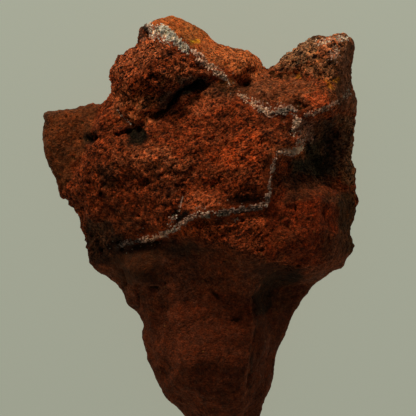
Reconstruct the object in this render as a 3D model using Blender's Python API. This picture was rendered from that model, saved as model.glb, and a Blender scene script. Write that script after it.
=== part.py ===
"""Calcite with hematite on matrix: a cabinet-size hand specimen of red, earthy hematite rock
that is crossed by three seams of pale calcite. It lies on its flat, broken-off back with its
show face up.

The origin is on the flat back. +X runs to the right of the show face, +Y runs to its summit
and +Z points up, out of the show face.
"""

import math

import bmesh
import bpy
from mathutils import Vector, noise
from mathutils.bvhtree import BVHTree
from mathutils.geometry import delaunay_2d_cdt

MM = 0.001

# Sizes of the build, in millimetres
VOXEL = 0.9
ROCK_TRIANGLES = 8600
RIM_BAND = 4.0
SEAM_GAP = 0.3
SEAM_STEP = 1.7
SEAM_SINK = 0.5
SEAM_END = 0.5
BACK_LEVEL = -5.0
MERGE = 0.01

# Points worked out on a seam's smooth curve between two of its own, and a height in metres
# well above the specimen, from which its seams are laid down on it
CURVE_STEPS = 12
FAR_ABOVE = 1.0

# The rubbly surface, in millimetres: lumps and their height, and the grain of the central
# face, whose ridges run up to the right
COARSE_LUMP = 9.0
COARSE_HEIGHT = 1.2
FINE_LUMP = 3.4
FINE_HEIGHT = 1.1
GRAIN_TILT = math.radians(32)
GRAIN_STRETCH = 2.4
SWELL = 0.25

# Share of the rubble that is left on the smoother parts: below the line of the long ledge,
# which rises to the right, and on the wing, beyond its corner (x, y)
UNDERSIDE_RUBBLE = 0.45
WING_RUBBLE = 0.5
LEDGE_HEIGHT = -7.0
LEDGE_RISE = 0.18
WING_CORNER = (-30.0, 4.0)

# Broken facets of the sides, in millimetres: below this height, this wide and this deep
SIDE_TOP = 12.0
SIDE_FADE = 3.0
SIDE_FACET = 13.0
SIDE_DEPTH = 2.4

# How much the crystals of a seam swell and thin along it
CRYSTAL_SWELL = 0.45
CRYSTAL_LENGTH = 1.5

# Outer edge of the specimen seen from above, as (x, y, z) in millimetres, from the left wing
# down to the tip, up the right side and back over the horn, the saddle and the summit
RIM_WING = [
    (-41, 24, 17), (-41, 19.5, 16), (-40.5, 14.5, 16), (-39, 10.5, 16), (-37.5, 6.5, 15),
    (-36.5, 3.5, 15), (-35, 2, 15), (-32.5, -1.5, 15), (-32, -3.5, 15), (-30.5, -8, 15),
    (-30, -11, 15),
]
RIM_LOWER_LEFT = [
    (-29, -13.5, 14), (-27.5, -15, 14), (-24.5, -17, 14), (-22, -19.5, 14), (-21, -22.5, 13),
    (-19.5, -25, 12), (-17, -26.5, 13), (-16, -29.5, 14), (-16, -32.5, 14), (-15, -35.5, 13.5),
    (-14.5, -38, 13),
]
RIM_TIP = [
    (-12.5, -42.5, 12), (-10, -48, 11), (-5.5, -52.5, 10), (1, -55, 9.5), (8, -55.5, 9),
    (12, -54.5, 9), (13.5, -51.5, 9),
]
RIM_LOWER_RIGHT = [
    (14.5, -47.5, 9), (15.5, -43.5, 9), (16.5, -41, 9.5), (17, -36.5, 10), (19, -33, 10),
    (20.5, -28.5, 10), (22, -25, 11), (24, -22, 12), (26.5, -19, 13), (30, -16.5, 14),
    (33.5, -14, 15),
]
RIM_RIGHT = [
    (36.5, -10, 16), (35.5, -6, 17), (36.5, -1.5, 16), (36.5, 4.5, 15), (36, 15.5, 15),
    (36, 20.5, 16), (37, 22.5, 16), (37.5, 25.5, 16), (37, 28, 16), (35.5, 31, 17),
    (35, 34.5, 17), (35.5, 38, 17), (36.5, 41, 17),
]
RIM_HORN = [
    (35, 43.5, 17), (33, 44, 17), (29, 42.5, 16), (25.5, 42.5, 16), (23, 41, 16),
    (19.5, 38.5, 16), (17.5, 35.5, 17),
]
RIM_SADDLE = [
    (15.5, 34.5, 18), (13.5, 34.5, 18), (12.5, 36.5, 18), (11, 38, 18), (8, 39, 18),
    (5.5, 39.5, 18), (3, 41, 19), (0.5, 42, 19),
]
RIM_SUMMIT = [
    (-1.5, 44, 18), (-4, 46, 17), (-7, 47.5, 16), (-9, 48, 16), (-12, 47.5, 16),
    (-14.5, 46.5, 17), (-17, 45.5, 19), (-17, 42.5, 20), (-18.5, 40.5, 20), (-21.5, 38.5, 20),
    (-24, 36, 20), (-24.5, 34.5, 21), (-24, 31.5, 21), (-23.5, 28.5, 21), (-25, 26.5, 20),
]
RIM_WING_TOP = [
    (-27.5, 25.5, 17), (-30.5, 25, 16), (-34, 24.5, 16), (-38, 24, 16),
]
RIM = (
    RIM_WING + RIM_LOWER_LEFT + RIM_TIP + RIM_LOWER_RIGHT + RIM_RIGHT + RIM_HORN
    + RIM_SADDLE + RIM_SUMMIT + RIM_WING_TOP
)

# Edges and folds of the show face, each a line of (x, y, z) points that the surface follows
FOLDS = {
    "summit seam line": [
        (-15.5, 45, 25), (-12, 43.5, 29), (-8.5, 41.5, 31), (-4.5, 39, 32), (-1.5, 36, 30),
        (2.5, 34, 29), (5.5, 31, 29),
    ],
    "lip over the deep hollow": [
        (-15.5, 23.5, 30.5), (-11.5, 26, 32.2), (-9, 29, 33.6), (-6.5, 31.5, 34.8), (-3.5, 33, 34.8),
        (0, 33, 32),
    ],
    "floor of the deep hollow": [
        (-12, 23.5, 24.5), (-9, 26, 20), (-5.5, 29, 17.5), (-2.5, 31, 19),
    ],
    "sill under the deep hollow": [
        (-14.5, 21.5, 30.5), (-11, 22, 31.5), (-7.5, 25.5, 31.5), (-4, 28, 31), (0, 30.5, 29.5),
    ],
    "foot of the step to the wing": [
        (-26.5, 25, 21), (-29.5, 21.5, 21), (-31.5, 17, 20), (-32.5, 13, 20), (-34.5, 9, 19),
        (-36, 5.5, 17),
    ],
    "crest of the long ledge": [
        (-22.5, -7.5, 25), (-17, -6, 29), (-12, -4.5, 33), (-8, -2, 36.5), (-5, -0.2, 39.8),
        (0, -0.2, 41.8), (4, 0.2, 40.8), (8.5, 0.4, 38.8), (13, 1.6, 38.3),
    ],
    "foot of the long ledge": [
        (-22.5, -10.5, 21.5), (-18, -10, 25), (-12.5, -8.5, 29), (-8, -6.5, 32.5),
        (-3, -4, 36.5), (2.5, -3, 39), (8.5, -2, 38.3), (14, -1, 37.5),
    ],
    "front edge of the strip below the ledge": [
        (-4.5, -6, 35.5), (-1, -7, 37.5), (2.5, -8.5, 39), (7, -10.5, 39.5), (12, -12, 39),
        (16.5, -12.5, 37.5),
    ],
    "crest of the step": [
        (22.5, 17, 34.5), (18, 15, 36.5), (15.5, 12.5, 38.5), (14.5, 9, 40), (14, 5.5, 41),
    ],
    "foot of the step": [
        (25, 15.5, 28), (22, 13.5, 29.5), (19, 12, 31.5), (17.5, 9.5, 33), (17, 4.5, 34.5),
        (16.5, 1.5, 36.5),
    ],
    "front lip of the shoulder": [
        (8, 27.5, 31.5), (11.5, 25.5, 32.5), (15, 23.5, 33.5), (19, 23, 34), (23, 23.5, 34),
        (27, 24.5, 34), (30.5, 25.5, 33), (33, 27, 28.5),
    ],
    "underside of the shoulder lip": [
        (22, 20, 33.5), (24.5, 21, 31), (28, 22, 28), (31.5, 23, 26),
    ],
    "right edge of the neck": [
        (11, -22, 26), (11.5, -26, 26.5), (11, -29.5, 27), (10.5, -34.5, 26.8),
        (9.5, -39.5, 25.5), (8.5, -44.5, 23.5), (8, -49, 20.5), (7.5, -52.5, 16.5),
    ],
    "crest of the horn": [
        (20.5, 38, 21.5), (24, 40, 23), (27.5, 41.5, 23.5), (31, 42.5, 23.5), (34, 42.5, 22),
    ],
    "right edge of the horn": [
        (35, 41.5, 21.5), (33, 39, 26), (31.5, 35.5, 28), (32, 31.5, 28),
    ],
    "crease under the horn": [
        (17, 34, 21), (20, 33, 21.5), (24, 33, 24.5),
    ],
}

# Single high, low and level spots of the show face between the folds
SPOTS = {
    "cap above the summit seam": [
        (-12, 46, 24), (-8.5, 46.5, 22), (-9, 44.5, 28), (-5.5, 44.5, 25), (-2.5, 42, 26),
        (-5, 41.5, 29),
    ],
    "crown of the head lump": [
        (-20, 37.5, 28), (-16.5, 41, 29), (-14.5, 38.5, 34), (-10, 39, 35), (-6, 37, 35),
        (-21.5, 34, 31.5), (-17.5, 33, 36), (-12, 33.5, 38.5), (-7, 34, 37),
    ],
    "underside of the head lump": [
        (-22, 30.5, 30), (-19, 30, 33.5), (-15.5, 30.5, 35.5), (-11, 31, 36.5), (-15, 28, 32),
        (-11.5, 28.5, 33), (-21.5, 27.5, 28), (-19.5, 26, 31), (-17, 24.5, 31.5),
    ],
    "wing": [
        (-38, 22, 19), (-39, 16, 18.5), (-37, 11, 18), (-33, 22.5, 19.5), (-35, 16, 19),
        (-38.5, 8.5, 17),
    ],
    "left flank": [
        (-26.5, 22.5, 26.5), (-28.5, 18, 27), (-29, 13, 27.5), (-30, 8.5, 26), (-31, 4, 24),
        (-29.5, -2, 21.5), (-27.5, -7, 19), (-23.5, 23, 28),
    ],
    "pitted band": [
        (-22, 18, 29.5), (-20, 21, 29.5), (-15, 19.5, 31), (-15, 17, 33.5), (-20, 15, 32.5),
    ],
    "knob and the hollow at its foot": [
        (-18.5, 13.5, 34.5), (-14.5, 14, 37), (-9, 13, 38), (-7.5, 10.5, 38),
        (-12, 10, 37.5), (-17, 10.5, 35.5), (-18.5, 8, 33.5), (-13, 7.5, 35.5), (-7.5, 7.5, 37),
    ],
    "broad central face": [
        (-24, 12, 32), (-23.5, 6, 31), (-23, -0.5, 27.5), (-17, 3.5, 33.5),
        (-17, -2.5, 31), (-11, 2, 36), (-4.5, 19.5, 34.5), (-0.5, 24.5, 33),
        (4.5, 27.5, 31.5), (-2, 14.5, 37.5), (2, 8, 39.5), (7, 21, 35), (8, 14.5, 38.5),
        (13, 20, 34.5), (13.5, 15, 38), (10.5, 8, 41), (-3.5, 5, 37.6), (18, 19, 35),
        (10.5, 5, 41.2), (2.5, 4.6, 39.2), (6.5, 5.2, 41),
    ],
    "shoulder": [
        (9, 31, 25.5), (13.5, 29.5, 29), (18.5, 28, 31), (23, 28, 32), (27.5, 28, 32.5),
        (31, 29, 31), (15, 32, 25), (20.5, 31, 27), (26, 31, 28.5), (29, 32, 29.5),
    ],
    "dark recess": [
        (26.5, 18.5, 19.5), (30.5, 19.5, 16.5), (33.5, 17, 16), (25.5, 12.5, 19.5),
        (29.5, 12, 16), (33.5, 11, 16.5), (22, 8.5, 26.5), (27.5, 7.5, 22), (32.5, 5.5, 19),
    ],
    "right bulge": [
        (20.5, 4, 33), (24, 1.5, 34.5), (28, 1.5, 33.5), (32, 0.5, 28), (34, -2, 22),
        (28, -4.5, 35.5), (23, -4.5, 36.3), (32, -7, 28.5), (34, -8, 21), (17.5, -4, 36.8),
        (13, -5.5, 38.2), (24, -9, 36.5), (18, -9.5, 37.8), (29, -10.5, 32), (25.5, -12, 33.5),
        (22.5, -15, 28), (28, -14, 25.5), (32, -12, 23), (15.5, -12.5, 34.5),
        (19, -13.5, 32.5), (24, 5, 32), (29, 4.5, 29),
    ],
    "hollow under the right bulge": [
        (13.5, -17.5, 25), (17, -18, 18), (22, -17.5, 15.5), (13.5, -22, 17),
        (18, -22.5, 13.5), (21.5, -22, 13),
    ],
    "underside below the long ledge": [
        (-20, -13.5, 22), (-14.5, -12.5, 26.5), (-14.5, -16.5, 26.5), (-8.5, -11, 30),
        (-3, -10, 32), (3, -12, 33), (-1, -14, 30.5), (8, -14.5, 32.5),
        (-7, -17, 27.5), (1, -18.5, 28), (8, -18.5, 28), (-15, -20.5, 23.5),
        (-20, -20.5, 18), (-19, -23.5, 17),
    ],
    "neck": [
        (-14.5, -24.5, 20), (-8, -23.5, 24.8), (0, -24, 26.2), (7, -24, 26.4),
        (-13.5, -30.5, 20), (-7, -30.5, 25.5), (2, -31, 27.4), (-12.5, -37, 19.5), (-6, -38, 25),
        (3, -38, 27), (-9.5, -44.5, 17.5), (-2, -45.5, 22.5), (4.5, -47, 22.3), (1, -52, 16.5),
        (15.5, -27, 17), (15, -32.5, 16.5), (13.5, -38.5, 15), (12.5, -45, 14),
        (11, -50, 13),
    ],
    "knots of the saddle": [
        (2, 38, 26), (5, 36.5, 26), (9, 36.5, 26), (11.5, 35, 24.5), (3.5, 35, 28.5),
        (7.5, 33.5, 27.5), (10.5, 32.5, 24),
    ],
    "horn": [
        (22, 35.5, 25), (25.5, 38, 27), (29.5, 39.5, 28), (28, 36, 28.5), (27, 33.5, 28),
        (34.5, 38, 21), (34, 34, 21.5), (35, 29, 20.5), (35.5, 24.5, 20),
    ],
}

# Pits in the show face, as (x, y, radius, depth) in millimetres
PITS = [
    (-28.5, 17.2, 1.6, 2.4), (-22, 18.4, 1.3, 1.8), (-17, 20, 2.4, 4.8), (-19.6, 18.7, 2.2, 3.4),
    (-20, 6.8, 2, 1), (-15.4, 43.8, 1.2, 1.6), (22.8, 25.6, 2.2, 2.4),
    (9.6, 30.6, 2.2, 3), (10.4, -4.8, 1.2, 1.2), (19.2, -3.2, 1.2, 1.2), (7.4, -28, 2, 1.2),
    (2.2, -22.2, 1.6, 1.2), (-6, -2.6, 1, 1.4), (27, 10.5, 3.6, 2.4), (-28.6, 23.4, 1.2, 0.8),
    (-26.2, 2.6, 1.6, 1), (1.4, 16.8, 1.6, 0.9), (4.4, 11.6, 1.8, 0.9), (-1.6, 22, 1.8, 1.2),
]

# Low knobs, as (x, y, radius, height) in millimetres
KNOBS = [
    (-17.4, -14.6, 5, 1.8), (7, -19.4, 4.6, 1), (-11.5, 33.4, 2.4, 1), (-8.5, 32.2, 2, 0.9),
    (26.5, 34.5, 2.4, 0.8), (29.8, 29.2, 2.2, 0.8), (-3, 11, 3, 0.9), (9.6, 24, 2.6, 0.7),
    (-24.6, 9, 2.4, 0.8), (3, 1.6, 3, 0.6), (-18, -27, 2.2, 1.2),
]

# Narrow clefts, as (x, y) lines that are cut in to a width and a depth in millimetres
CLEFTS = [
    {"line": [(-5.6, 4.2), (-6.8, 1), (-8.4, -2)], "width": 0.9, "depth": 1.8},
    {"line": [(-22.6, 24.6), (-20.8, 22), (-18.8, 20.6)], "width": 0.8, "depth": 1.2},
    {"line": [(-18.4, -19.4), (-15.4, -20.4), (-12.6, -19.8)], "width": 1, "depth": 1.5},
    {"line": [(-18.6, -22.4), (-17.8, -26)], "width": 0.9, "depth": 1.4},
    {"line": [(15.6, 33.8), (18.6, 33.2), (22, 33.4)], "width": 1, "depth": 1.6},
    {"line": [(11.6, -22.4), (12, -28), (11.4, -35), (10, -42)], "width": 0.9, "depth": 1},
    {"line": [(1, -21.2), (4, -22.4), (8, -21.4)], "width": 1, "depth": 0.7},
    {"line": [(-21, -9.6), (-16, -9.2), (-11, -8)], "width": 1, "depth": 1.4},
]

# Corners of the flat back that the specimen rests on, as (x, y) in millimetres
BACK_EDGE = [
    (-27, 17), (-23, 27), (-18, 35), (-10, 41), (1, 35), (11, 30), (20, 32), (29, 36),
    (31, 26), (29, 11), (31, 1), (29, -8), (20, -15), (14, -26), (11, -38), (6, -46),
    (-3, -44), (-9, -34), (-12, -24), (-20, -14), (-26, -6), (-30, 5),
]

# Spots on the sides, between the rim and the flat back
SIDE_SPOTS = [
    (-37, 19, 9), (-36, 11, 9), (-32, 14, 5), (-28, -9, 7), (-14, -31, 6), (-3, -50, 6),
    (9, -50, 6), (33, 18, 8), (34, -4, 9), (26, 39, 8), (4, 37.5, 9), (-15, 41, 9),
]

# Calcite seams, each a line of (x, y, half width) points laid on the show face
SEAMS = {
    "calcite_seam_summit": [
        (-15.6, 44.9, 1), (-13.6, 44.9, 1.2), (-11.4, 43.9, 1.2), (-9.2, 42.4, 1.5),
        (-7.2, 41.2, 1.3), (-5.2, 39.8, 1), (-3.8, 38.4, 1.3), (-2.2, 37.4, 1.4),
        (-1.2, 35.8, 1.1), (0.6, 34.7, 1.1), (3.4, 33.6, 1), (4.8, 32, 0.8), (5.6, 30.6, 0.7),
    ],
    "calcite_seam_shoulder": [
        (7.4, 28, 0.8), (9.4, 27.4, 0.9), (11.4, 26.2, 1.2), (13.4, 24.6, 1.4),
        (15.8, 23.7, 1.3), (18.4, 23.9, 1.3), (20.6, 24.3, 1.1), (22, 22.8, 1),
        (22.2, 20.8, 0.9), (21, 18.9, 0.9),
    ],
    "calcite_seam_step": [
        (23.8, 16, 1), (22, 14.5, 1.3), (19.4, 14.2, 1), (17, 13.6, 1), (16, 12, 1),
        (15.6, 9.4, 0.9), (15.2, 6, 0.9), (14.6, 3, 1), (14, 1.1, 1.1), (11.6, 0.1, 1),
        (9.2, 0, 1), (6.2, -0.6, 1.1), (3, -0.9, 1.2), (0.2, -1.3, 1.3), (-2.2, -1.2, 1.1),
        (-4.6, -2.4, 1), (-6.6, -3.9, 0.9), (-8.6, -5.2, 1.1), (-10.8, -6.1, 1.1),
        (-13, -6.9, 1), (-15.4, -7.6, 0.9), (-18.2, -7.8, 0.8), (-20.6, -8.8, 0.8),
        (-23.8, -10.2, 0.6),
    ],
}

# Finishes
HEMATITE = {"colour": (0.23, 0.055, 0.02, 1), "roughness": 0.9}
CALCITE = {"colour": (0.66, 0.56, 0.52, 1), "roughness": 0.45}


def clear_scene():
    """Start from an empty file."""
    for item in list(bpy.data.objects):
        bpy.data.objects.remove(item, do_unlink=True)


def make_material(name, finish):
    """A plain non-metallic finish."""
    material = bpy.data.materials.new(name)
    material.use_nodes = True
    shader = material.node_tree.nodes["Principled BSDF"]
    shader.inputs["Base Color"].default_value = finish["colour"]
    shader.inputs["Roughness"].default_value = finish["roughness"]
    shader.inputs["Metallic"].default_value = 0.0
    return material


def sheet_over(bm, outline, lines, spots, faces_up):
    """Span a net of triangles over an outline, along fold lines and through single spots.

    Returns the corners of the net that stand on the outline, in the outline's order.
    """
    points = list(outline)
    edges = []
    for line in lines:
        first = len(points)
        points.extend(line)
        edges.extend((first + i, first + i + 1) for i in range(len(line) - 1))
    points.extend(spots)
    flat = [Vector((x, y)) for x, y, _ in points]
    border = [list(range(len(outline)))]
    places, _, faces, sources, _, _ = delaunay_2d_cdt(flat, edges, border, 1, 0.001)
    corners = {}
    made = []
    for place, source in zip(places, sources):
        corner = bm.verts.new(Vector((place.x, place.y, points[source[0]][2])) * MM)
        made.append(corner)
        corners[source[0]] = corner
    for face in faces:
        ring = [made[i] for i in face]
        bm.faces.new(ring if faces_up else ring[::-1])
    return [corners[i] for i in range(len(outline))]


def rough_block():
    """The rock as a coarse closed body: a folded show face, a side band and a level back."""
    bm = bmesh.new()
    show_spots = [spot for group in SPOTS.values() for spot in group]
    upper = sheet_over(bm, RIM, FOLDS.values(), show_spots, True)
    lower_rim = [(x, y, z - RIM_BAND) for x, y, z in RIM]
    back_ring = [(x, y, BACK_LEVEL) for x, y in BACK_EDGE]
    back_lines = [back_ring, [back_ring[-1], back_ring[0]]]
    lower = sheet_over(bm, lower_rim, back_lines, SIDE_SPOTS, False)
    for i in range(len(RIM)):
        bm.faces.new((upper[i - 1], lower[i - 1], lower[i], upper[i]))
    bmesh.ops.remove_doubles(bm, verts=bm.verts, dist=MERGE * MM)
    bmesh.ops.recalc_face_normals(bm, faces=bm.faces)
    mesh = bpy.data.meshes.new("rough_block")
    bm.to_mesh(mesh)
    bm.free()
    block = bpy.data.objects.new("rough_block", mesh)
    bpy.context.collection.objects.link(block)
    return block


def apply_modifiers(item):
    """Replace an object's mesh with its evaluated mesh, and drop its modifiers."""
    graph = bpy.context.evaluated_depsgraph_get()
    graph.update()
    mesh = bpy.data.meshes.new_from_object(item.evaluated_get(graph))
    item.modifiers.clear()
    item.data = mesh


def remesh_and_soften(block):
    """Turn the coarse net into an even skin with soft folds."""
    remesh = block.modifiers.new("even skin", "REMESH")
    remesh.mode = "VOXEL"
    remesh.voxel_size = VOXEL * MM
    soften = block.modifiers.new("soft folds", "SMOOTH")
    soften.factor = 0.5
    soften.iterations = 2
    apply_modifiers(block)


def bell(distance, reach):
    """A smooth fall from 1 at the middle to 0 at the reach."""
    if distance >= reach:
        return 0.0
    return (1 - (distance / reach) ** 2) ** 2


def line_distance(x, y, line):
    """Distance from a point to a line of (x, y) points."""
    nearest = math.inf
    for (x0, y0), (x1, y1) in zip(line, line[1:]):
        along_x, along_y = x1 - x0, y1 - y0
        t = ((x - x0) * along_x + (y - y0) * along_y) / (along_x ** 2 + along_y ** 2)
        t = min(1.0, max(0.0, t))
        nearest = min(nearest, math.hypot(x - x0 - t * along_x, y - y0 - t * along_y))
    return nearest


def carving(x, y):
    """Height that the knobs, pits and clefts add to the show face at a place."""
    height = 0.0
    for knob_x, knob_y, radius, rise in KNOBS:
        height += rise * bell(math.hypot(x - knob_x, y - knob_y), radius)
    for pit_x, pit_y, radius, depth in PITS:
        height -= depth * bell(math.hypot(x - pit_x, y - pit_y), radius)
    for cleft in CLEFTS:
        height -= cleft["depth"] * bell(line_distance(x, y, cleft["line"]), cleft["width"])
    return height


def roughness_at(x, y):
    """How rubbly the rock is: fully above the long ledge, less on the wing and underneath."""
    if y < LEDGE_HEIGHT + LEDGE_RISE * x:
        return UNDERSIDE_RUBBLE
    if x < WING_CORNER[0] and y > WING_CORNER[1]:
        return WING_RUBBLE
    return 1.0


def crag(place):
    """Height of the rubbly surface at a place, in millimetres."""
    x, y, z = place
    coarse = noise.noise(place / COARSE_LUMP)
    along = x * math.cos(GRAIN_TILT) + y * math.sin(GRAIN_TILT)
    across = y * math.cos(GRAIN_TILT) - x * math.sin(GRAIN_TILT)
    grained = Vector((along / GRAIN_STRETCH, across, z)) / FINE_LUMP
    lumpy = noise.noise(place / FINE_LUMP)
    ridges = 0.5 - abs(noise.noise(grained)) * 2
    fine = 0.5 * (lumpy + ridges)
    height = COARSE_HEIGHT * coarse + FINE_HEIGHT * roughness_at(x, y) * fine
    if z < SIDE_TOP:
        fade = min(1.0, (SIDE_TOP - z) / SIDE_FADE)
        height -= SIDE_DEPTH * fade * abs(noise.noise(place / SIDE_FACET))
    return height


def roughen(block):
    """Push the skin in and out along its normals by the rubbly surface and the carving."""
    mesh = block.data
    normals = [vertex.normal.copy() for vertex in mesh.vertices]
    for vertex, normal in zip(mesh.vertices, normals):
        place = vertex.co / MM
        shift = SWELL + crag(place)
        vertex.co += normal * shift * MM
        if normal.z > 0:
            vertex.co.z += carving(place.x, place.y) * MM


def thin_out(block, triangles):
    """Bring the mesh down to a number of triangles."""
    mesh = block.data
    present = sum(len(face.vertices) - 2 for face in mesh.polygons)
    thin = block.modifiers.new("fewer faces", "DECIMATE")
    thin.ratio = triangles / present
    thin.use_collapse_triangulate = True
    apply_modifiers(block)


def cut_back_flat(block):
    """Cut the specimen off level at the origin, which leaves the face it rests on."""
    bm = bmesh.new()
    bm.from_mesh(block.data)
    everything = bm.verts[:] + bm.edges[:] + bm.faces[:]
    bmesh.ops.bisect_plane(
        bm, geom=everything, plane_co=(0, 0, 0), plane_no=(0, 0, 1), clear_inner=True
    )
    open_edges = [edge for edge in bm.edges if edge.is_boundary]
    made = bmesh.ops.contextual_create(bm, geom=open_edges)
    bmesh.ops.triangulate(bm, faces=made["faces"])
    bm.to_mesh(block.data)
    bm.free()


def smooth_run(points, step):
    """Evenly spaced points on a smooth curve through a seam's own points."""
    ends = [points[0]] + points + [points[-1]]
    dense = []
    for before, start, stop, after in zip(ends, ends[1:], ends[2:], ends[3:]):
        for i in range(CURVE_STEPS):
            t = i / CURVE_STEPS
            dense.append(tuple(
                0.5 * (2 * b + (c - a) * t + (2 * a - 5 * b + 4 * c - d) * t ** 2
                       + (3 * b - a - 3 * c + d) * t ** 3)
                for a, b, c, d in zip(before, start, stop, after)
            ))
    dense.append(points[-1])
    run = [dense[0]]
    for point in dense[1:]:
        if math.dist(point[:2], run[-1][:2]) >= step:
            run.append(point)
    return run


def seam_curve(name, run, surface, extra):
    """A seam as a bevelled curve that lies half sunk along the show face.

    Its groove is the same curve, with some extra room all round and past both ends.
    """
    curve = bpy.data.curves.new(name, "CURVE")
    curve.dimensions = "3D"
    curve.bevel_depth = MM
    curve.bevel_resolution = 1
    curve.use_fill_caps = True
    spline = curve.splines.new("POLY")
    spline.points.add(len(run) - 1)
    heights = []
    for x, y, _ in run:
        above = Vector((x * MM, y * MM, FAR_ABOVE))
        heights.append(surface.ray_cast(above, Vector((0, 0, -1)))[0].z)
    for i, (x, y, half_width) in enumerate(run):
        near = heights[max(0, i - 1):i + 2]
        radius = half_width / math.sqrt(1 - SEAM_SINK ** 2)
        height = sum(near) / len(near) - SEAM_SINK * radius * MM
        swell = 1 + CRYSTAL_SWELL * noise.noise(Vector((x, y, 0)) / CRYSTAL_LENGTH)
        end = SEAM_END if i in (0, len(run) - 1) else 1.0
        spline.points[i].co = (x * MM, y * MM, height, 1)
        spline.points[i].radius = radius * swell * end + extra
    for tip, inner in ((spline.points[0], spline.points[1]),
                       (spline.points[-1], spline.points[-2])):
        outward = (tip.co - inner.co).normalized()
        tip.co = tip.co + outward * extra * MM
    return curve


def curve_to_object(name, curve):
    """Turn a bevelled curve into a mesh object of its own."""
    guide = bpy.data.objects.new(name + "_guide", curve)
    bpy.context.collection.objects.link(guide)
    graph = bpy.context.evaluated_depsgraph_get()
    mesh = bpy.data.meshes.new_from_object(guide.evaluated_get(graph))
    bpy.data.objects.remove(guide)
    bm = bmesh.new()
    bm.from_mesh(mesh)
    bmesh.ops.remove_doubles(bm, verts=bm.verts, dist=MERGE * MM)
    bmesh.ops.recalc_face_normals(bm, faces=bm.faces)
    bm.to_mesh(mesh)
    bm.free()
    item = bpy.data.objects.new(name, mesh)
    bpy.context.collection.objects.link(item)
    return item


def cut_groove(rock, cutter):
    """Cut one seam's groove into the rock."""
    cutter.hide_render = True
    cutter.display_type = "WIRE"
    groove = rock.modifiers.new(cutter.name, "BOOLEAN")
    groove.object = cutter
    groove.operation = "DIFFERENCE"
    apply_modifiers(rock)
    bpy.data.objects.remove(cutter)


def build_seams(rock):
    """Lay each calcite seam in its own groove in the rock."""
    surface = BVHTree.FromObject(rock, bpy.context.evaluated_depsgraph_get())
    calcite = make_material("calcite", CALCITE)
    for name, points in SEAMS.items():
        run = smooth_run(points, SEAM_STEP)
        seam = curve_to_object(name, seam_curve(name, run, surface, 0.0))
        seam.data.materials.clear()
        seam.data.materials.append(calcite)
        groove_curve = seam_curve(name + "_groove", run, surface, SEAM_GAP)
        cut_groove(rock, curve_to_object(name + "_groove", groove_curve))


def build_rock():
    """The matrix: one piece of hematite-red rock."""
    rock = rough_block()
    rock.name = "hematite_matrix"
    remesh_and_soften(rock)
    roughen(rock)
    thin_out(rock, ROCK_TRIANGLES)
    cut_back_flat(rock)
    rock.data.materials.clear()
    rock.data.materials.append(make_material("hematite", HEMATITE))
    return rock


def main():
    clear_scene()
    rock = build_rock()
    build_seams(rock)


main()
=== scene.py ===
# %% [markdown]
# This lesson dresses a hand specimen of calcite with hematite on matrix. The real thing is one
# broken piece of earthy, rust-red rock as long as a hand is wide, and a crack in it has filled
# with pale, sugary calcite. The frame holds its plain solids at their real size, and everything
# below gives them the surface that a finger would feel and the colours that the eye would see.

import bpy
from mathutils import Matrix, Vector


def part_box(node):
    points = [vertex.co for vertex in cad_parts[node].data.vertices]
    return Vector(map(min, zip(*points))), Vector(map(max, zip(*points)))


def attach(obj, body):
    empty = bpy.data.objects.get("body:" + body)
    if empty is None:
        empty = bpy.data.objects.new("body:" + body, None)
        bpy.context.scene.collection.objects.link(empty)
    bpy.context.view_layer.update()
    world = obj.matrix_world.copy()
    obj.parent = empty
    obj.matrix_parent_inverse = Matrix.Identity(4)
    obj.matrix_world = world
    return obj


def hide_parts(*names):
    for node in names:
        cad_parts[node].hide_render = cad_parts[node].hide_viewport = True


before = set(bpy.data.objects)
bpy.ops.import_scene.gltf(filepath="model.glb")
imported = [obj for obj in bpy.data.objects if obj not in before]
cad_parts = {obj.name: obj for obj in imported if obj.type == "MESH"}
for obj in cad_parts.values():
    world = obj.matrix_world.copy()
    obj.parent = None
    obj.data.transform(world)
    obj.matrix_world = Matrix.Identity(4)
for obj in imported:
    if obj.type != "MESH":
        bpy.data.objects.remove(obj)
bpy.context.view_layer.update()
print("the frame holds", len(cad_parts), "solids")

# %% [markdown]
# Lengths in the frame are metres. Such a rock is measured in millimetres, so every size below is
# written in millimetres and multiplied by MM where Blender needs it. X runs to the right of the
# show face, Y to its summit, and Z out of it, towards the viewer.

# %% Units and imports
import math

import bmesh
import bpy
import numpy as np
from mathutils import Vector, noise
from mathutils.bvhtree import BVHTree

MM = 0.001
ROCK_NODE = "hematite_matrix"
SEAM_NODES = ("calcite_seam_summit", "calcite_seam_shoulder", "calcite_seam_step")
for node_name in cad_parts:
    low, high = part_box(node_name)
    print(node_name, "is", [round((b - a) / MM, 1) for a, b in zip(low, high)], "mm")

# %% [markdown]
# The camera looks straight down on the show face, from far away through a long lens, as for a
# catalogue picture. A near camera would swell the parts that stand highest.

# %% Camera
FRAME_WIDTH = 104 * MM
CAMERA_HEIGHT = 3020 * MM
FACE_LEVEL = 20 * MM
SENSOR = 36

scene = bpy.context.scene
camera = bpy.data.objects.new("camera", bpy.data.cameras.new("camera"))
scene.collection.objects.link(camera)
camera.data.sensor_width = SENSOR
camera.data.lens = SENSOR * (CAMERA_HEIGHT - FACE_LEVEL) / FRAME_WIDTH
camera.data.clip_start = 10 * MM
camera.location = (0, 0, CAMERA_HEIGHT)
scene.camera = camera
scene.view_settings.view_transform = "Standard"
print("lens", round(camera.data.lens), "mm")

# %% [markdown]
# Both kinds of node tree, for shapes and for shaders, are built with the same two helpers. The
# first adds a node and fills its inputs, with a link where the value is another node's socket.
# The second writes one step of arithmetic, so that a formula reads from left to right.

# %% Helpers for node trees
def add(tree, kind, inputs=None, **settings):
    """Add a node to a tree, with its settings and its inputs."""
    made = tree.nodes.new(kind)
    for name, value in settings.items():
        setattr(made, name, value)
    for key, value in (inputs or {}).items():
        if isinstance(value, bpy.types.NodeSocket):
            tree.links.new(value, made.inputs[key])
        else:
            made.inputs[key].default_value = value
    return made


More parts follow.
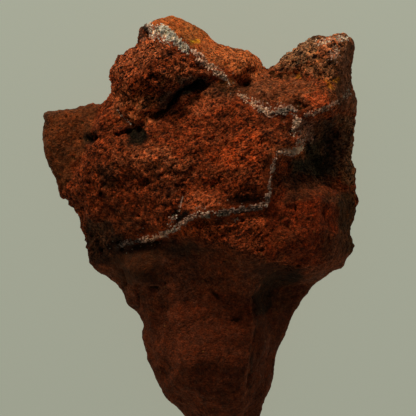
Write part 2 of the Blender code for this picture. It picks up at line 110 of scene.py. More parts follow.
def maths(tree, operation, *values):
    """One step of arithmetic in a tree."""
    return add(tree, "ShaderNodeMath", dict(enumerate(values)), operation=operation).outputs[0]


def smooth_step(tree, value, start, stop):
    """0 where the value is at or before start, 1 at or past stop, and smooth between them."""
    inputs = {"Value": value, "From Min": start, "From Max": stop}
    made = add(tree, "ShaderNodeMapRange", inputs, interpolation_type="SMOOTHSTEP")
    return made.outputs["Result"]


def add_sockets(tree, in_out, sockets):
    """Give a group its named inputs or outputs, as (name, kind, value)."""
    for name, kind, value in sockets:
        socket = tree.interface.new_socket(name, in_out=in_out, socket_type="NodeSocket" + kind)
        if value is not None:
            socket.default_value = value


# %% [markdown]
# A Geometry Nodes tree hangs on an object as a modifier. Its inputs are set by their identifiers,
# which stay the same when a name changes, and then the evaluated result is taken as a plain mesh.

# %% Helpers for modifiers
def apply_modifiers(item):
    """Replace an object's mesh with its evaluated mesh, and drop its modifiers."""
    graph = bpy.context.evaluated_depsgraph_get()
    graph.update()
    mesh = bpy.data.meshes.new_from_object(item.evaluated_get(graph))
    item.modifiers.clear()
    item.data = mesh


def grow(item, tree, values):
    """Run a Geometry Nodes tree on an object, with these values for its named inputs."""
    modifier = item.modifiers.new(tree.name, "NODES")
    modifier.node_group = tree
    for socket in tree.interface.items_tree:
        if socket.in_out == "INPUT" and socket.name in values:
            modifier[socket.identifier] = values[socket.name]
    apply_modifiers(item)


def triangle_count(item):
    return sum(len(face.vertices) - 2 for face in item.data.polygons)


# %% [markdown]
# The skin of the rock starts from the frame's own solid. In the real rock the calcite is one with
# the stone, so the solids of the seams are swollen a little, to close the narrow gap round them, and
# a voxel remesh melts them all into a single closed skin, with a vertex every third of a millimetre.
# A subdivision surface would keep the solid's large triangles and stretch them over the ledges.

# %% The rock's skin
SKIN = 0.29
SEAM_SWELL = 0.36
SEAM_SINK = 0.3
MERGE = 0.001
SOFTEN_STEPS = 34
SMOOTHING = 0.5


def add_solid(bm, node, swell, sink):
    """Add a copy of a frame node to a mesh, swollen and lowered by some millimetres."""
    part = bmesh.new()
    part.from_mesh(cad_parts[node].data)
    bmesh.ops.remove_doubles(part, verts=part.verts, dist=MERGE * MM)
    part.normal_update()
    down = Vector((0, 0, -sink * MM))
    places = {vert: vert.co + vert.normal * swell * MM + down for vert in part.verts}
    fresh = {vert: bm.verts.new(place) for vert, place in places.items()}
    for face in part.faces:
        bm.faces.new([fresh[vert] for vert in face.verts])
    part.free()


def solid_object(name, nodes):
    """An object that holds copies of some frame nodes, as (node, swell, sink)."""
    bm = bmesh.new()
    for node, swell, sink in nodes:
        add_solid(bm, node, swell, sink)
    mesh = bpy.data.meshes.new(name)
    bm.to_mesh(mesh)
    bm.free()
    item = bpy.data.objects.new(name, mesh)
    scene.collection.objects.link(item)
    return item


def remesh(item, voxel, soften_steps):
    """Give an object an even skin, and soften the solid's flat facets."""
    even = item.modifiers.new("even skin", "REMESH")
    even.mode = "VOXEL"
    even.voxel_size = voxel * MM
    soften = item.modifiers.new("soft facets", "SMOOTH")
    soften.factor = SMOOTHING
    soften.iterations = soften_steps
    apply_modifiers(item)


fillings = [(node, SEAM_SWELL, SEAM_SINK) for node in SEAM_NODES]
rock = solid_object("rock", [(ROCK_NODE, 0, 0)] + fillings)
remesh(rock, SKIN, SOFTEN_STEPS)
print("the skin has", triangle_count(rock), "triangles")

# %% [markdown]
# Much of a specimen's character is in single places: this pit, that knob, the crease over there.
# They are placed one by one, as a sculptor would place them, in small tables of named spots. The
# helpers below measure how deep inside a spot, a line or an outline each vertex lies, for the
# whole mesh at once with numpy. The same helpers place the patches of colour later.

# %% Helpers for spots
def vertex_places(item):
    """The places and normals of a mesh's vertices, with places in millimetres."""
    count = len(item.data.vertices)
    places = np.empty(count * 3, np.float32)
    item.data.vertices.foreach_get("co", places)
    normals = np.empty(count * 3, np.float32)
    item.data.vertex_normals.foreach_get("vector", normals)
    return places.reshape(-1, 3) / MM, normals.reshape(-1, 3)


def move_vertices(item, places):
    item.data.vertices.foreach_set("co", (places * MM).astype(np.float32).ravel())
    item.data.update()


def bell(share):
    """1 at a spot's middle, falling smoothly to 0 at its edge, where the share is 1."""
    return np.clip(1 - share ** 2, 0, 1) ** 2


def step(value, start, stop):
    """A smooth climb from 0 at start to 1 at stop."""
    t = np.clip((value - start) / (stop - start), 0, 1)
    return t * t * (3 - 2 * t)


def spot(places, x, y, long, wide, turn):
    """An oval soft spot, turned by some degrees from the X axis."""
    c, s = math.cos(math.radians(turn)), math.sin(math.radians(turn))
    dx, dy = places[:, 0] - x, places[:, 1] - y
    return bell(np.hypot((dx * c + dy * s) / long, (dy * c - dx * s) / wide))


def raised(places, spots):
    """The heights of many spots added up, each as (x, y, long, wide, turn, height)."""
    total = np.zeros(len(places))
    for x, y, long, wide, turn, height in spots:
        total += height * spot(places, x, y, long, wide, turn)
    return total


def line_distance(places, line):
    """Distance from each place to a line of (x, y) points."""
    nearest = np.full(len(places), np.inf)
    for (x0, y0), (x1, y1) in zip(line, line[1:]):
        along_x, along_y = x1 - x0, y1 - y0
        t = (places[:, 0] - x0) * along_x + (places[:, 1] - y0) * along_y
        t = np.clip(t / (along_x ** 2 + along_y ** 2), 0, 1)
        gap = np.hypot(places[:, 0] - x0 - t * along_x, places[:, 1] - y0 - t * along_y)
        nearest = np.minimum(nearest, gap)
    return nearest


def inside(places, outline, softness):
    """1 well inside an outline, 0 outside it, with a soft border of some millimetres."""
    within = np.zeros(len(places), bool)
    closed = outline + [outline[0]]
    for (x0, y0), (x1, y1) in zip(closed, closed[1:]):
        spans = (places[:, 1] < y0) != (places[:, 1] < y1)
        cut = x0 + (places[:, 1] - y0) / ((y1 - y0) or 1) * (x1 - x0)  # none cross a level edge
        within ^= spans & (places[:, 0] < cut)
    depth = line_distance(places, closed) * np.where(within, 1, -1)
    return step(depth, -softness / 2, softness / 2)


# %% [markdown]
# The remesh leaves a low ridge over each filled groove. Only the vertices close to a seam are
# smoothed again, many times, and the others hold still, so that the rock is drawn level across
# the groove like a skin across a drum. The calcite then stands a little above it.

# %% Close the grooves
SEAM_REACH = 5.0
CLOSE_STEPS = 90
CLOSE_NEAR = 0.5
CLOSE_FAR = 1.1


def seam_distance(places):
    """Distance in millimetres from each place to the nearest seam solid, up to a limit."""
    seams = solid_object("seams", [(node, 0, 0) for node in SEAM_NODES])
    tree = BVHTree.FromObject(seams, bpy.context.evaluated_depsgraph_get())
    gaps = np.full(len(places), SEAM_REACH)
    for i, place in enumerate(places):
        found = tree.find_nearest(Vector(place) * MM, SEAM_REACH * MM)
        if found[3] is not None:
            gaps[i] = found[3] / MM
    bpy.data.objects.remove(seams)
    return gaps


def weigh(item, name, weights):
    """A vertex group with one weight for each vertex, kept to the nearest tenth."""
    group = item.vertex_groups.new(name=name)
    tenths = np.round(weights * 10).astype(int)
    for tenth in range(1, 11):
        group.add(np.nonzero(tenths == tenth)[0].tolist(), tenth / 10, "REPLACE")


places, _ = vertex_places(rock)
weigh(rock, "grooves", 1 - step(seam_distance(places), CLOSE_NEAR, CLOSE_FAR))
close = rock.modifiers.new("close the grooves", "SMOOTH")
close.vertex_group = "grooves"
close.factor = SMOOTHING
close.iterations = CLOSE_STEPS
apply_modifiers(rock)
rock.vertex_groups.clear()
print("the grooves are closed on", len(rock.data.vertices), "vertices")

# %% [markdown]
# The regions of the rock differ in how it broke and weathered. The centre and the head lump are
# rubbly, the wing on the left is an older, smoother face, the shoulder is smooth and draped, and
# everything below the long ledge is a fairly smooth break. Each region is an outline.

# %% Regions of the show face
WING = [(-43, 27), (-27, 26), (-30, 17), (-31, 14.5), (-33.5, 10), (-37, 4), (-44, 3)]
SHOULDER = [(7, 30), (14, 34), (21, 33), (27, 31), (32, 30), (32, 26), (24, 24.5), (13.5, 26.5)]
HORN = [(15, 35), (20, 33.5), (26, 33), (31, 31), (38, 33), (39, 46), (24, 44), (14, 37)]
HORN_SIDE = [(31, 32), (33, 38), (36, 43), (40, 43), (40, 24), (33, 24)]
UNDERSIDE = [
    (-30, -14), (-24, -11), (-18, -9.6), (-10.5, -8), (-5, -6.5), (1, -9.5), (8, -11),
    (14, -13.5), (20, -15), (24, -15.5), (34, -13), (40, -20), (20, -60), (-20, -60), (-40, -30),
]
NECK = [(-20, -22), (-8, -22), (6, -23.5), (20, -22), (26, -19), (20, -60), (-20, -60)]
HEAD = [
    (-24, 34), (-20, 40), (-15, 43), (-9, 41), (-2, 36), (-3, 33), (-9, 30), (-14, 24), (-24, 27),
]
BULGE_LEFT = [(-24, -12), (-12, -9.6), (-11, -19), (-16, -21), (-24, -17)]
LEFT_FACE = [(-29, 3), (-14, 4), (-12, -7), (-20, -9), (-31, -6)]
CAP = [(-18, 46), (-14, 46.5), (-9, 44), (-5, 41.5), (-1, 38), (4, 42), (-4, 49), (-18, 50)]
SADDLE = [(-2, 37), (3, 35), (7, 33.5), (12.5, 33), (15, 36), (11, 40), (2, 43), (-3, 41)]
BULGE = [(16, 5), (22, 6), (34, 5), (38, -4), (35, -13), (24, -14.5), (14, -12.5), (14, -2)]
RECESS = [
    (25, 19), (27.5, 22), (32, 22), (33, 14), (32.5, 9), (29.5, 5.5), (24, 5), (19.5, 8), (22, 11.5),
    (25, 13),
]
RECESS_DEEP = [
    (22.5, 14.5), (26, 17), (30.5, 17), (33, 13.2), (32.5, 9.5), (28.5, 7.5), (24.2, 9), (20.5, 8),
    (20.5, 10.8),
]
HOLLOW_RIGHT = [
    (14, -16.5), (19.2, -15), (22.2, -16), (23.8, -17.5), (21, -19.6), (17, -22.4), (15.4, -26),
    (12.8, -27), (11.5, -24.5), (11.2, -22), (13.5, -19.2),
]
HOLLOW_DEEP = [
    (0, 33.6), (-4, 34), (-9, 32.4), (-11.6, 28.6), (-13.6, 25.4), (-15.6, 23.4), (-14.6, 22),
    (-11, 22.8), (-7.6, 26.4), (-4, 29.4), (0, 31.2),
]
NECK_SIDE = [
    (11.2, -22), (11.8, -28), (11, -34.8), (9.8, -44.8), (9.8, -58), (24, -58), (30, -19), (16, -23),
]

# %% [markdown]
# A region is only a place. How much smoother than the rubbly centre it is stands in a table of its
# own, as (outline, softness of its border in millimetres, share of the rubble that is left).

# %% How rubbly each region is
SMOOTHER = [
    (WING, 3, 0.55), (SHOULDER, 3, 0.8), (UNDERSIDE, 3, 0.44), (NECK, 3, 0.8), (CAP, 2, 0.6),
    (SADDLE, 2, 0.95), (BULGE, 3, 0.68), (HORN, 2, 1.25), (HORN_SIDE, 1, 0.6), (HEAD, 2, 1.35),
    (BULGE_LEFT, 2, 0.5), (LEFT_FACE, 4, 0.75),
]


def rubble_strength(places):
    """How rubbly the rock is at each place, from 0 to 1."""
    strength = np.ones(len(places))
    for outline, softness, left in SMOOTHER:
        strength *= 1 - (1 - left) * inside(places, outline, softness)
    return strength


print(len(SMOOTHER), "regions are smoother or rougher than the centre")

# %% [markdown]
# Low lumps push the skin out along its normals, and pits and creases push it in. Sculpting by hand
# could do the same, but a table can be read again and corrected line by line. Each spot is
# (x, y, long, wide, turn, height), all in millimetres but the turn, which is in degrees.

# %% Lumps, pits and creases
LUMPS = [
    (-5.4, 27.8, 4.6, 1.8, 40, 1.8), (-20, 20, 4.6, 1.6, 0, 1), (10.4, -4.8, 1.3, 1.3, 0, 1.4),
    (19.2, -3.2, 1.3, 1.3, 0, 1.4), (-22.8, 19.2, 1.8, 1.4, 0, 1),
    (-16.2, 20.2, 2, 1.4, -20, 1), (2, -4.8, 9, 1.6, 8, 0.8), (7, -1.8, 3, 1, 5, 0.4),
    (-17.2, -15, 5.4, 4.4, 10, 0.5), (7.2, -19.4, 6.2, 2.8, 0, 0.7), (-18.9, -22.7, 3.4, 2, 80, 0.7),
    (-10.9, 24.8, 3, 1.2, 52, 1.5), (-17.6, 22.2, 2.8, 1.8, -40, 1), (-2.5, 37.5, 1.8, 1.4, -30, 0.6),
    (5.2, 37.2, 2, 1.6, 0, 0.5), (9.6, 36.6, 1.6, 1.4, 0, 0.5),
    (-12.6, 46, 4, 1.8, 5, 0.5), (-13.6, 12.2, 3.8, 2.2, 10, 0.8), (-8.4, 12.4, 2.4, 1.8, 30, 0.6),
    (-20.6, 37, 2.6, 2, 30, 0.5),
    (-12.4, 35.4, 2.4, 1.8, 20, 0.5), (-7.6, 34.6, 2, 1.4, 20, 0.4), (28.5, -11.8, 2.6, 1.2, 10, 0.6),
    (22.4, -6.4, 3.4, 2, 20, 0.4), (26.8, -1.2, 2.6, 1.8, 40, 0.5), (-1, 2.2, 2.6, 1.2, 5, 0.4),
    (28, 31, 2.4, 1.6, 0, 0.4), (17, 30.2, 2.4, 1.2, 50, 0.4), (21.4, 29.4, 2.6, 1, 60, 0.4),
]
PITS = [
    (-3.5, 30.2, 3.6, 1.4, 31, 0.6), (-29.4, 17.5, 2.1, 1.5, 20, 2),
    (-22.6, 18.4, 0.8, 0.7, 20, 0.9), (-17.4, 18, 2.4, 1.3, 10, 0.6),
    (-26.8, 3.3, 0.8, 1.4, 0, 1.2), (-17.5, -2, 0.8, 0.6, 0, 1.1), (23, 25.4, 2.4, 1.3, 0, 1.3),
    (9.5, 30.8, 1.8, 0.9, 0, 0.4), (-13.6, 32.4, 1.9, 1.7, 0, 1), (-5.5, -2.7, 0.7, 1, 0, 1.4),
    (-22.5, -8.8, 0.8, 0.6, 0, 0.9), (-21.5, -10.5, 0.7, 0.6, 0, 0.8),
    (-15.6, 43.9, 0.8, 0.7, 0, 1), (-35.5, 23, 0.5, 0.5, 0, 0.6),
    (-32.8, 23, 0.5, 0.5, 0, 0.6), (-31.5, 21.5, 0.6, 0.5, 0, 0.6), (-39, 19.5, 0.5, 0.4, 0, 0.5),
    (-37, 19.5, 0.5, 0.4, 0, 0.5), (-32, 17.3, 0.7, 0.5, 0, 0.6), (8, -0.8, 1.6, 0.7, 0, 0.8),
    (7, -28, 1.9, 1, 0, 0.5), (-16, 6.4, 2.2, 1.2, 20, 0.7), (-11, 8.6, 2.6, 1, 25, 0.6),
]
CREASES = [
    ([(15.7, 34), (17.6, 33.2), (19.8, 32.8)], 0.8, 1.2),
    ([(21.7, 2.6), (21.9, -0.6), (22.2, -3.2)], 0.4, 0.7),
    ([(-21.5, -15.5), (-20.9, -17.4), (-20.7, -19.2)], 0.7, 0.9),
    ([(-18, -19.4), (-15.6, -20.1), (-12.8, -19.9)], 0.7, 0.8),
    ([(0.4, -20.2), (1.4, -21.4), (2.4, -22.2)], 0.7, 0.7),
    ([(-17.5, -21.5), (-17.3, -24.8)], 0.5, 0.7),
    ([(-26.4, 17.4), (-30.2, 17.2), (-30.9, 14.4), (-33.6, 9.6), (-36.8, 4.4)], 0.9, 0.5),
    ([(11.2, -22.3), (11.7, -28), (11, -34.8), (9.8, -44.8)], 0.6, 0.5),
]
print(len(LUMPS), "lumps,", len(PITS), "pits and", len(CREASES), "creases")

# %% [markdown]
# A push along the normals can't move the edge of the rock sideways. The shifts do that: each draws
# what lies round its spot a little way right or up, as (x, y, long, wide, turn, right, up). The
# calcite will take the same shifts, so that it stays on the crack.

# %% Shifts of the outline
SHIFTS = [
    (14, -44, 3, 16, 0, 0.7, 0), (-12, 47.6, 8, 2.4, 5, 0, 0.35), (-41, 24, 4, 2, 0, -0.1, 0.3),
    (36, 26.5, 2, 4, 0, 0.45, 0), (36.2, 12, 2, 6, 0, -0.4, 0), (-22.5, 31, 2, 3, 0, -0.3, 0),
    (-24, 37, 3, 2.4, 0, 0.3, -0.3), (-25, 34.6, 2, 2.6, 0, -0.35, 0), (16, -36.5, 2.6, 4, 0, 0.5, 0),
    (12.5, -49, 3, 6, 0, 0.5, 0), (-31, -3.6, 3, 5, 0, -0.4, 0),
    (-5.4, 39.6, 9, 3.4, -42, -0.6, -0.7),
    (-19, 41.2, 2.6, 2.4, 0, 1.5, -0.5), (-26, 26.4, 4, 1.6, 0, 0, -0.35),
    (13, 25.6, 8, 3, -20, -0.1, -0.9), (24.4, 14.2, 2.6, 2.2, 0, 0, 1.5), (15.8, 8, 2, 6, 0, -0.4, 0),
    (-21.4, 39.6, 2.4, 1.8, 0, 0.3, -1.2), (14.8, 35, 2.2, 1.6, 0, 0, -0.7),
    (36.8, 5.4, 2, 4.6, 0, -0.7, 0), (-37.5, 6, 2.4, 3.4, 0, 0.6, 0),
    (-17, 45.6, 1.6, 1.6, 0, -0.2, 0.5),
]


def shifted(places):
    """The places, each drawn a little right or up by the shifts round it."""
    moved = places.copy()
    for x, y, long, wide, turn, right, up in SHIFTS:
        moved[:, :2] += spot(places, x, y, long, wide, turn)[:, None] * np.array((right, up))
    return moved


print(len(SHIFTS), "shifts of the outline")

# %% [markdown]
# All the pushes are added up first, and then the skin moves once. Faces that look sideways or
# down hold still, because the tables were made for the show face alone.

# %% Move the skin
SHOW_FACE = (-0.1, 0.3)

places, normals = vertex_places(rock)
places = shifted(places)
push = raised(places, LUMPS + [(*pit, -depth) for *pit, depth in PITS])
for line, width, depth in CREASES:
    push -= depth * bell(line_distance(places, line) / width)
facing = step(normals[:, 2], *SHOW_FACE)
move_vertices(rock, places + normals * (push * facing)[:, None])
print("the skin moves by", round(float(push.min()), 1), "to", round(float(push.max()), 1), "mm")

# %% [markdown]
# The rubble itself follows a rule, so Geometry Nodes can make it. A tree knows nothing of the
# regions, so the mesh carries them to it as attributes: how rubbly each vertex is, how strong the
# slanting grain is on the central face, how far it is from the calcite, and whether it is on the
# flat back, which has to stay flat.

# %% Attributes for the rubble
GRAIN_FACE = [(-14, 3), (-6, 18), (4, 27), (12, 25), (15, 14), (13, 3), (0, 2)]
GRAIN_BORDER = 6
GRAIN_ELSEWHERE = 0.25
SEAM_CLEAR = 2.0
RUBBLE_AT_SEAM = 0.4
BACK_EDGE = (0.2, 1.5)


def store(item, name, values):
    """Keep a value for each vertex under a name, for node trees to read."""
    kept = item.data.attributes.new(name, "FLOAT", "POINT")
    kept.data.foreach_set("value", values.astype(np.float32))


places, _ = vertex_places(rock)
beside_seam = step(seam_distance(places), 0, SEAM_CLEAR)
left_at_seam = RUBBLE_AT_SEAM + (1 - RUBBLE_AT_SEAM) * beside_seam
grained_face = inside(places, GRAIN_FACE, GRAIN_BORDER)
store(rock, "rubble", rubble_strength(places) * left_at_seam)
store(rock, "ridged", GRAIN_ELSEWHERE + (1 - GRAIN_ELSEWHERE) * grained_face)
store(rock, "clear", beside_seam)
store(rock, "back", 1 - step(places[:, 2], *BACK_EDGE))
print("attributes:", [kept.name for kept in rock.data.attributes])

# %% [markdown]
# A few more steps come up again and again in the trees: to read an attribute, to turn a size into
# the scale that a texture asks for, to reckon with vectors, and to split space into cells.

# %% Small steps of trees
MIDDLE = (0.5, 0.5, 0.5)


def named(tree, name):
    return add(tree, "GeometryNodeInputNamedAttribute", {"Name": name}).outputs["Attribute"]


def inverse(tree, value):
    return maths(tree, "DIVIDE", 1.0, value)


def rest(tree, value):
    """What is left of 1."""
    return maths(tree, "SUBTRACT", 1.0, value)


def scaled(tree, vector, factor):
    made = add(tree, "ShaderNodeVectorMath", {0: vector, "Scale": factor}, operation="SCALE")
    return made.outputs[0]


def vectors(tree, operation, first, second):
    """One step of arithmetic with vectors."""
    made = add(tree, "ShaderNodeVectorMath", {0: first, 1: second}, operation=operation)
    return made.outputs["Value" if operation == "DOT_PRODUCT" else "Vector"]


def split_cells(tree, place, size):
    """Cells of one size that fill space, each with a random colour."""
    inputs = {"Vector": place, "Scale": inverse(tree, size)}
    return add(tree, "ShaderNodeTexVoronoi", inputs).outputs


def clouds(tree, place, size, detail, roughness=0.5):
    """Smooth noise whose swellings have one size."""
    inputs = {"Vector": place, "Scale": inverse(tree, size), "Detail": detail,
              "Roughness": roughness}
    return add(tree, "ShaderNodeTexNoise", inputs).outputs["Fac"]


# %% [markdown]
# Every tree for shapes starts with named inputs, so that one tree can serve several pieces with other
# values. It ends by making its instances real, which the export needs, and giving them a material.

# %% Starts and ends of trees
def new_tree(name, inputs):
    """An empty Geometry Nodes tree, and the outputs of its input node."""
    tree = bpy.data.node_groups.new(name, "GeometryNodeTree")
    add_sockets(tree, "INPUT", inputs)
    add_sockets(tree, "OUTPUT", [("Geometry", "Geometry", None)])
    return tree, add(tree, "NodeGroupInput").outputs


def place_and_normal(tree):
    return [add(tree, "GeometryNodeInput" + kind).outputs[0] for kind in ("Position", "Normal")]


def finish_tree(tree, geometry, material):
    """End a tree with real geometry and its material."""
    whole = add(tree, "GeometryNodeRealizeInstances", {"Geometry": geometry}).outputs[0]
    dressed = add(tree, "GeometryNodeSetMaterial", {"Geometry": whole, "Material": material})
    add(tree, "NodeGroupOutput", {"Geometry": dressed.outputs[0]})


# %% [markdown]
# Broken earth looks even until one looks for a straight line in it and finds none. So the places
# that the patterns are read from are bent by a slow noise first. Then they are turned to the run
# of the grain and drawn out along it, because this rock crumbles along slanting layers.

# %% Bend and draw out a pattern
GRAIN_TURN = math.radians(32)
GRAIN_STRETCH = 1.3


def warp(tree, place, scale, amount):
    """Bend a pattern by a slow noise, so that its cells lose their even look."""
    swirl = add(tree, "ShaderNodeTexNoise", {"Vector": place, "Scale": scale}).outputs["Color"]
    bent = scaled(tree, vectors(tree, "SUBTRACT", swirl, MIDDLE), amount)
    return vectors(tree, "ADD", place, bent)


def grained(tree, place, turn, stretch):
    """Turn a pattern to the run of the grain and draw it out along it."""
    turned = add(tree, "ShaderNodeVectorRotate", {"Vector": place, "Angle": -turn},
                 rotation_type="Z_AXIS").outputs[0]
    return vectors(tree, "MULTIPLY", turned, (1 / stretch, 1, 1))


# %% [markdown]
# Four patterns make the rubble. Voronoi cells give rounded stones that touch, noise gives ground
# between them, and cells of which only a few count give round pits. Each gives out a height.

# %% Patterns of the rubble
CELL_MEAN = 0.5
PIT_WALL = (0.08, 0.36)
CHANCE_BORDER = 0.1


def cell_height(tree, place, size, detail, height):
    """Rounded stones of one size, each a Voronoi cell."""
    inputs = {"Vector": place, "Scale": inverse(tree, size), "Detail": detail, "Roughness": 0.55,
              "Lacunarity": 2.3}
    away = add(tree, "ShaderNodeTexVoronoi", inputs, normalize=False).outputs["Distance"]
    return maths(tree, "MULTIPLY", maths(tree, "SUBTRACT", CELL_MEAN, away), height)


def noise_height(tree, place, size, detail, height):
    """Uneven ground of many sizes at once."""
    ground = clouds(tree, place, size, detail, 0.62)
    return maths(tree, "MULTIPLY", maths(tree, "SUBTRACT", ground, 0.5), height)


def holes(tree, place, spacing, depth, share):
    """Round pits at random places, where one cell in so many has one."""
    cells = split_cells(tree, place, spacing)
    hole = rest(tree, smooth_step(tree, cells["Distance"], *PIT_WALL))
    chance = add(tree, "FunctionNodeSeparateColor", {0: cells["Color"]}).outputs[0]
    chosen = smooth_step(tree, chance, 1 - share, 1 - share + CHANCE_BORDER)
    hole = maths(tree, "MULTIPLY", hole, chosen)
    return maths(tree, "MULTIPLY", hole, depth)


# %% [markdown]
# Dark dust gathers in hollows and shade falls in them, and crests are rubbed pale, so the colour is
# darkened there with dust and painted shade. A shader can't see how hollow a place is, so the tree
# measures it: it compares each place with its blurred surroundings, once near and once far, and
# keeps both depths on the mesh.

# %% Measure the hollows
HOLLOW_ROUNDS = 3
DIP_ROUNDS = 26


def measure_hollows(tree, geometry):
    """Keep how far each place lies below its near and its wider surroundings, in millimetres."""
    place, normal = place_and_normal(tree)
    for name, rounds in (("hollow", HOLLOW_ROUNDS), ("dip", DIP_ROUNDS)):
        blur = add(tree, "GeometryNodeBlurAttribute", data_type="FLOAT_VECTOR")
        tree.links.new(place, blur.inputs["Value"])
        blur.inputs["Iterations"].default_value = rounds
        rise = vectors(tree, "SUBTRACT", blur.outputs[0], place)
        in_mm = maths(tree, "DIVIDE", vectors(tree, "DOT_PRODUCT", rise, normal), MM)
        geometry = add(tree, "GeometryNodeStoreNamedAttribute",
                       {"Geometry": geometry, "Name": name, "Value": in_mm}).outputs[0]
    return geometry


# %% [markdown]
# The patterns are put together in three parts: stones of three sizes on uneven ground, thin ridges
# that follow the grain, and pits of two sizes. A ridge is where a noise crosses its middle value,
# which gives long winding lines, and stretching them makes them run along the layers.

# %% Stones, ridges and pits
RIDGE_STRETCH = 2.2
RIDGE_MEAN = 0.1
WIDE_PIT_SHARE = 0.3
SMALL_PIT_SHARE = 0.4
SMALL_PIT_DEPTH = 0.6


def stone_height(tree, given, warped, drawn):
    """Lumps, stones and grains on uneven ground."""
    height = cell_height(tree, warped, given["Lump size"], 1.0, given["Lump height"])
    stones = cell_height(tree, drawn, given["Stone size"], 1.0, given["Stone height"])
    grains = cell_height(tree, drawn, given["Grain size"], 1.0, given["Grain height"])
    height = maths(tree, "ADD", maths(tree, "ADD", height, stones), grains)
    ground = noise_height(tree, drawn, given["Stone size"], 4.0, given["Ground height"])
    return maths(tree, "ADD", height, ground)


def ridge_height(tree, given, warped):
    """Thin ridges along the grain, where the mesh asks for them."""
    fine = grained(tree, warped, GRAIN_TURN, RIDGE_STRETCH)
    ridges = clouds(tree, fine, given["Ridge spacing"], 2.0)
    ridges = maths(tree, "ABSOLUTE", maths(tree, "SUBTRACT", ridges, 0.5))
    ridges = maths(tree, "SUBTRACT", RIDGE_MEAN, ridges)
    ridges = maths(tree, "MULTIPLY", ridges, given["Ridge height"])
    return maths(tree, "MULTIPLY", ridges, named(tree, "ridged"))


def less_pits(tree, given, drawn, height):
    """The height without two sizes of pits."""
    half = maths(tree, "MULTIPLY", given["Pit spacing"], 0.5)
    shallow = maths(tree, "MULTIPLY", given["Pit depth"], SMALL_PIT_DEPTH)
    wide_pits = holes(tree, drawn, given["Pit spacing"], given["Pit depth"], WIDE_PIT_SHARE)
    small_pits = holes(tree, drawn, half, shallow, SMALL_PIT_SHARE)
    return maths(tree, "SUBTRACT", maths(tree, "SUBTRACT", height, wide_pits), small_pits)


# %% [markdown]
# The rubble tree adds the three parts up. The sum is scaled by how rubbly the region is, and it moves
# the skin along its normals, but not on the back. A displacement texture in the material would be
# quicker to make, but it would be lost when the model is exported.

# %% The rubble tree
RUBBLE_INPUTS = [
    ("Geometry", "Geometry", None), ("Lump size", "Float", 0.004), ("Lump height", "Float", 0.001),
    ("Stone size", "Float", 0.002), ("Stone height", "Float", 0.0008),
    ("Grain size", "Float", 0.001), ("Grain height", "Float", 0.0003),
    ("Ground height", "Float", 0.001), ("Ridge spacing", "Float", 0.001),
    ("Ridge height", "Float", 0.0003),
    ("Pit spacing", "Float", 0.003), ("Pit depth", "Float", 0.0005), ("Warp", "Float", 0.001),
    ("Swell", "Float", 0.0001), ("Material", "Material", None),
]
def rubble_tree():
    """Stones, grains, ridges and pits over a skin, with the hollows measured."""
    tree, given = new_tree("earthy rubble", RUBBLE_INPUTS)
    place, normal = place_and_normal(tree)
    warped = warp(tree, place, inverse(tree, given["Lump size"]), given["Warp"])
    drawn = grained(tree, warped, GRAIN_TURN, GRAIN_STRETCH)
    height = stone_height(tree, given, warped, drawn)
    height = maths(tree, "ADD", height, ridge_height(tree, given, warped))
    height = less_pits(tree, given, drawn, height)
    height = maths(tree, "MULTIPLY", height, named(tree, "rubble"))
    swell = maths(tree, "MULTIPLY", given["Swell"], named(tree, "clear"))
    height = maths(tree, "ADD", height, swell)
    loose = rest(tree, named(tree, "back"))
    offset = scaled(tree, normal, maths(tree, "MULTIPLY", height, loose))
    moved = add(tree, "GeometryNodeSetPosition",
                {"Geometry": given["Geometry"], "Offset": offset}).outputs[0]
    finish_tree(tree, measure_hollows(tree, moved), given["Material"])
    return tree


RUBBLE = rubble_tree()
print("the rubble tree has", len(RUBBLE.nodes), "nodes")

# %% [markdown]
# The tree works on a dense skin, and then the mesh is thinned where it is nearly flat, such as on
# the broken back, so that its triangles go where the detail is. Whatever has come to lie below the
# flat back is lifted to it.

# %% Make the rubble
ROCK_TRIANGLES = 196000

hematite = bpy.data.materials.new("hematite")
grow(rock, RUBBLE, {
    "Lump size": 4.2 * MM, "Lump height": 0.7 * MM, "Stone size": 1.8 * MM,
    "Stone height": 0.35 * MM, "Grain size": 0.8 * MM, "Grain height": 0.22 * MM,
    "Ground height": 1.6 * MM, "Ridge spacing": 1.2 * MM, "Ridge height": 1.5 * MM,
    "Pit spacing": 2.4 * MM, "Pit depth": 0.6 * MM, "Warp": 1.6 * MM, "Swell": 0.25 * MM,
    "Material": hematite,
})
thin = rock.modifiers.new("fewer triangles", "DECIMATE")
thin.ratio = min(1.0, ROCK_TRIANGLES / triangle_count(rock))
apply_modifiers(rock)
rock.data.shade_smooth()
places, normals = vertex_places(rock)
places[:, 2] = np.maximum(places[:, 2], 0)
move_vertices(rock, places)
print("the rock has", triangle_count(rock), "triangles")
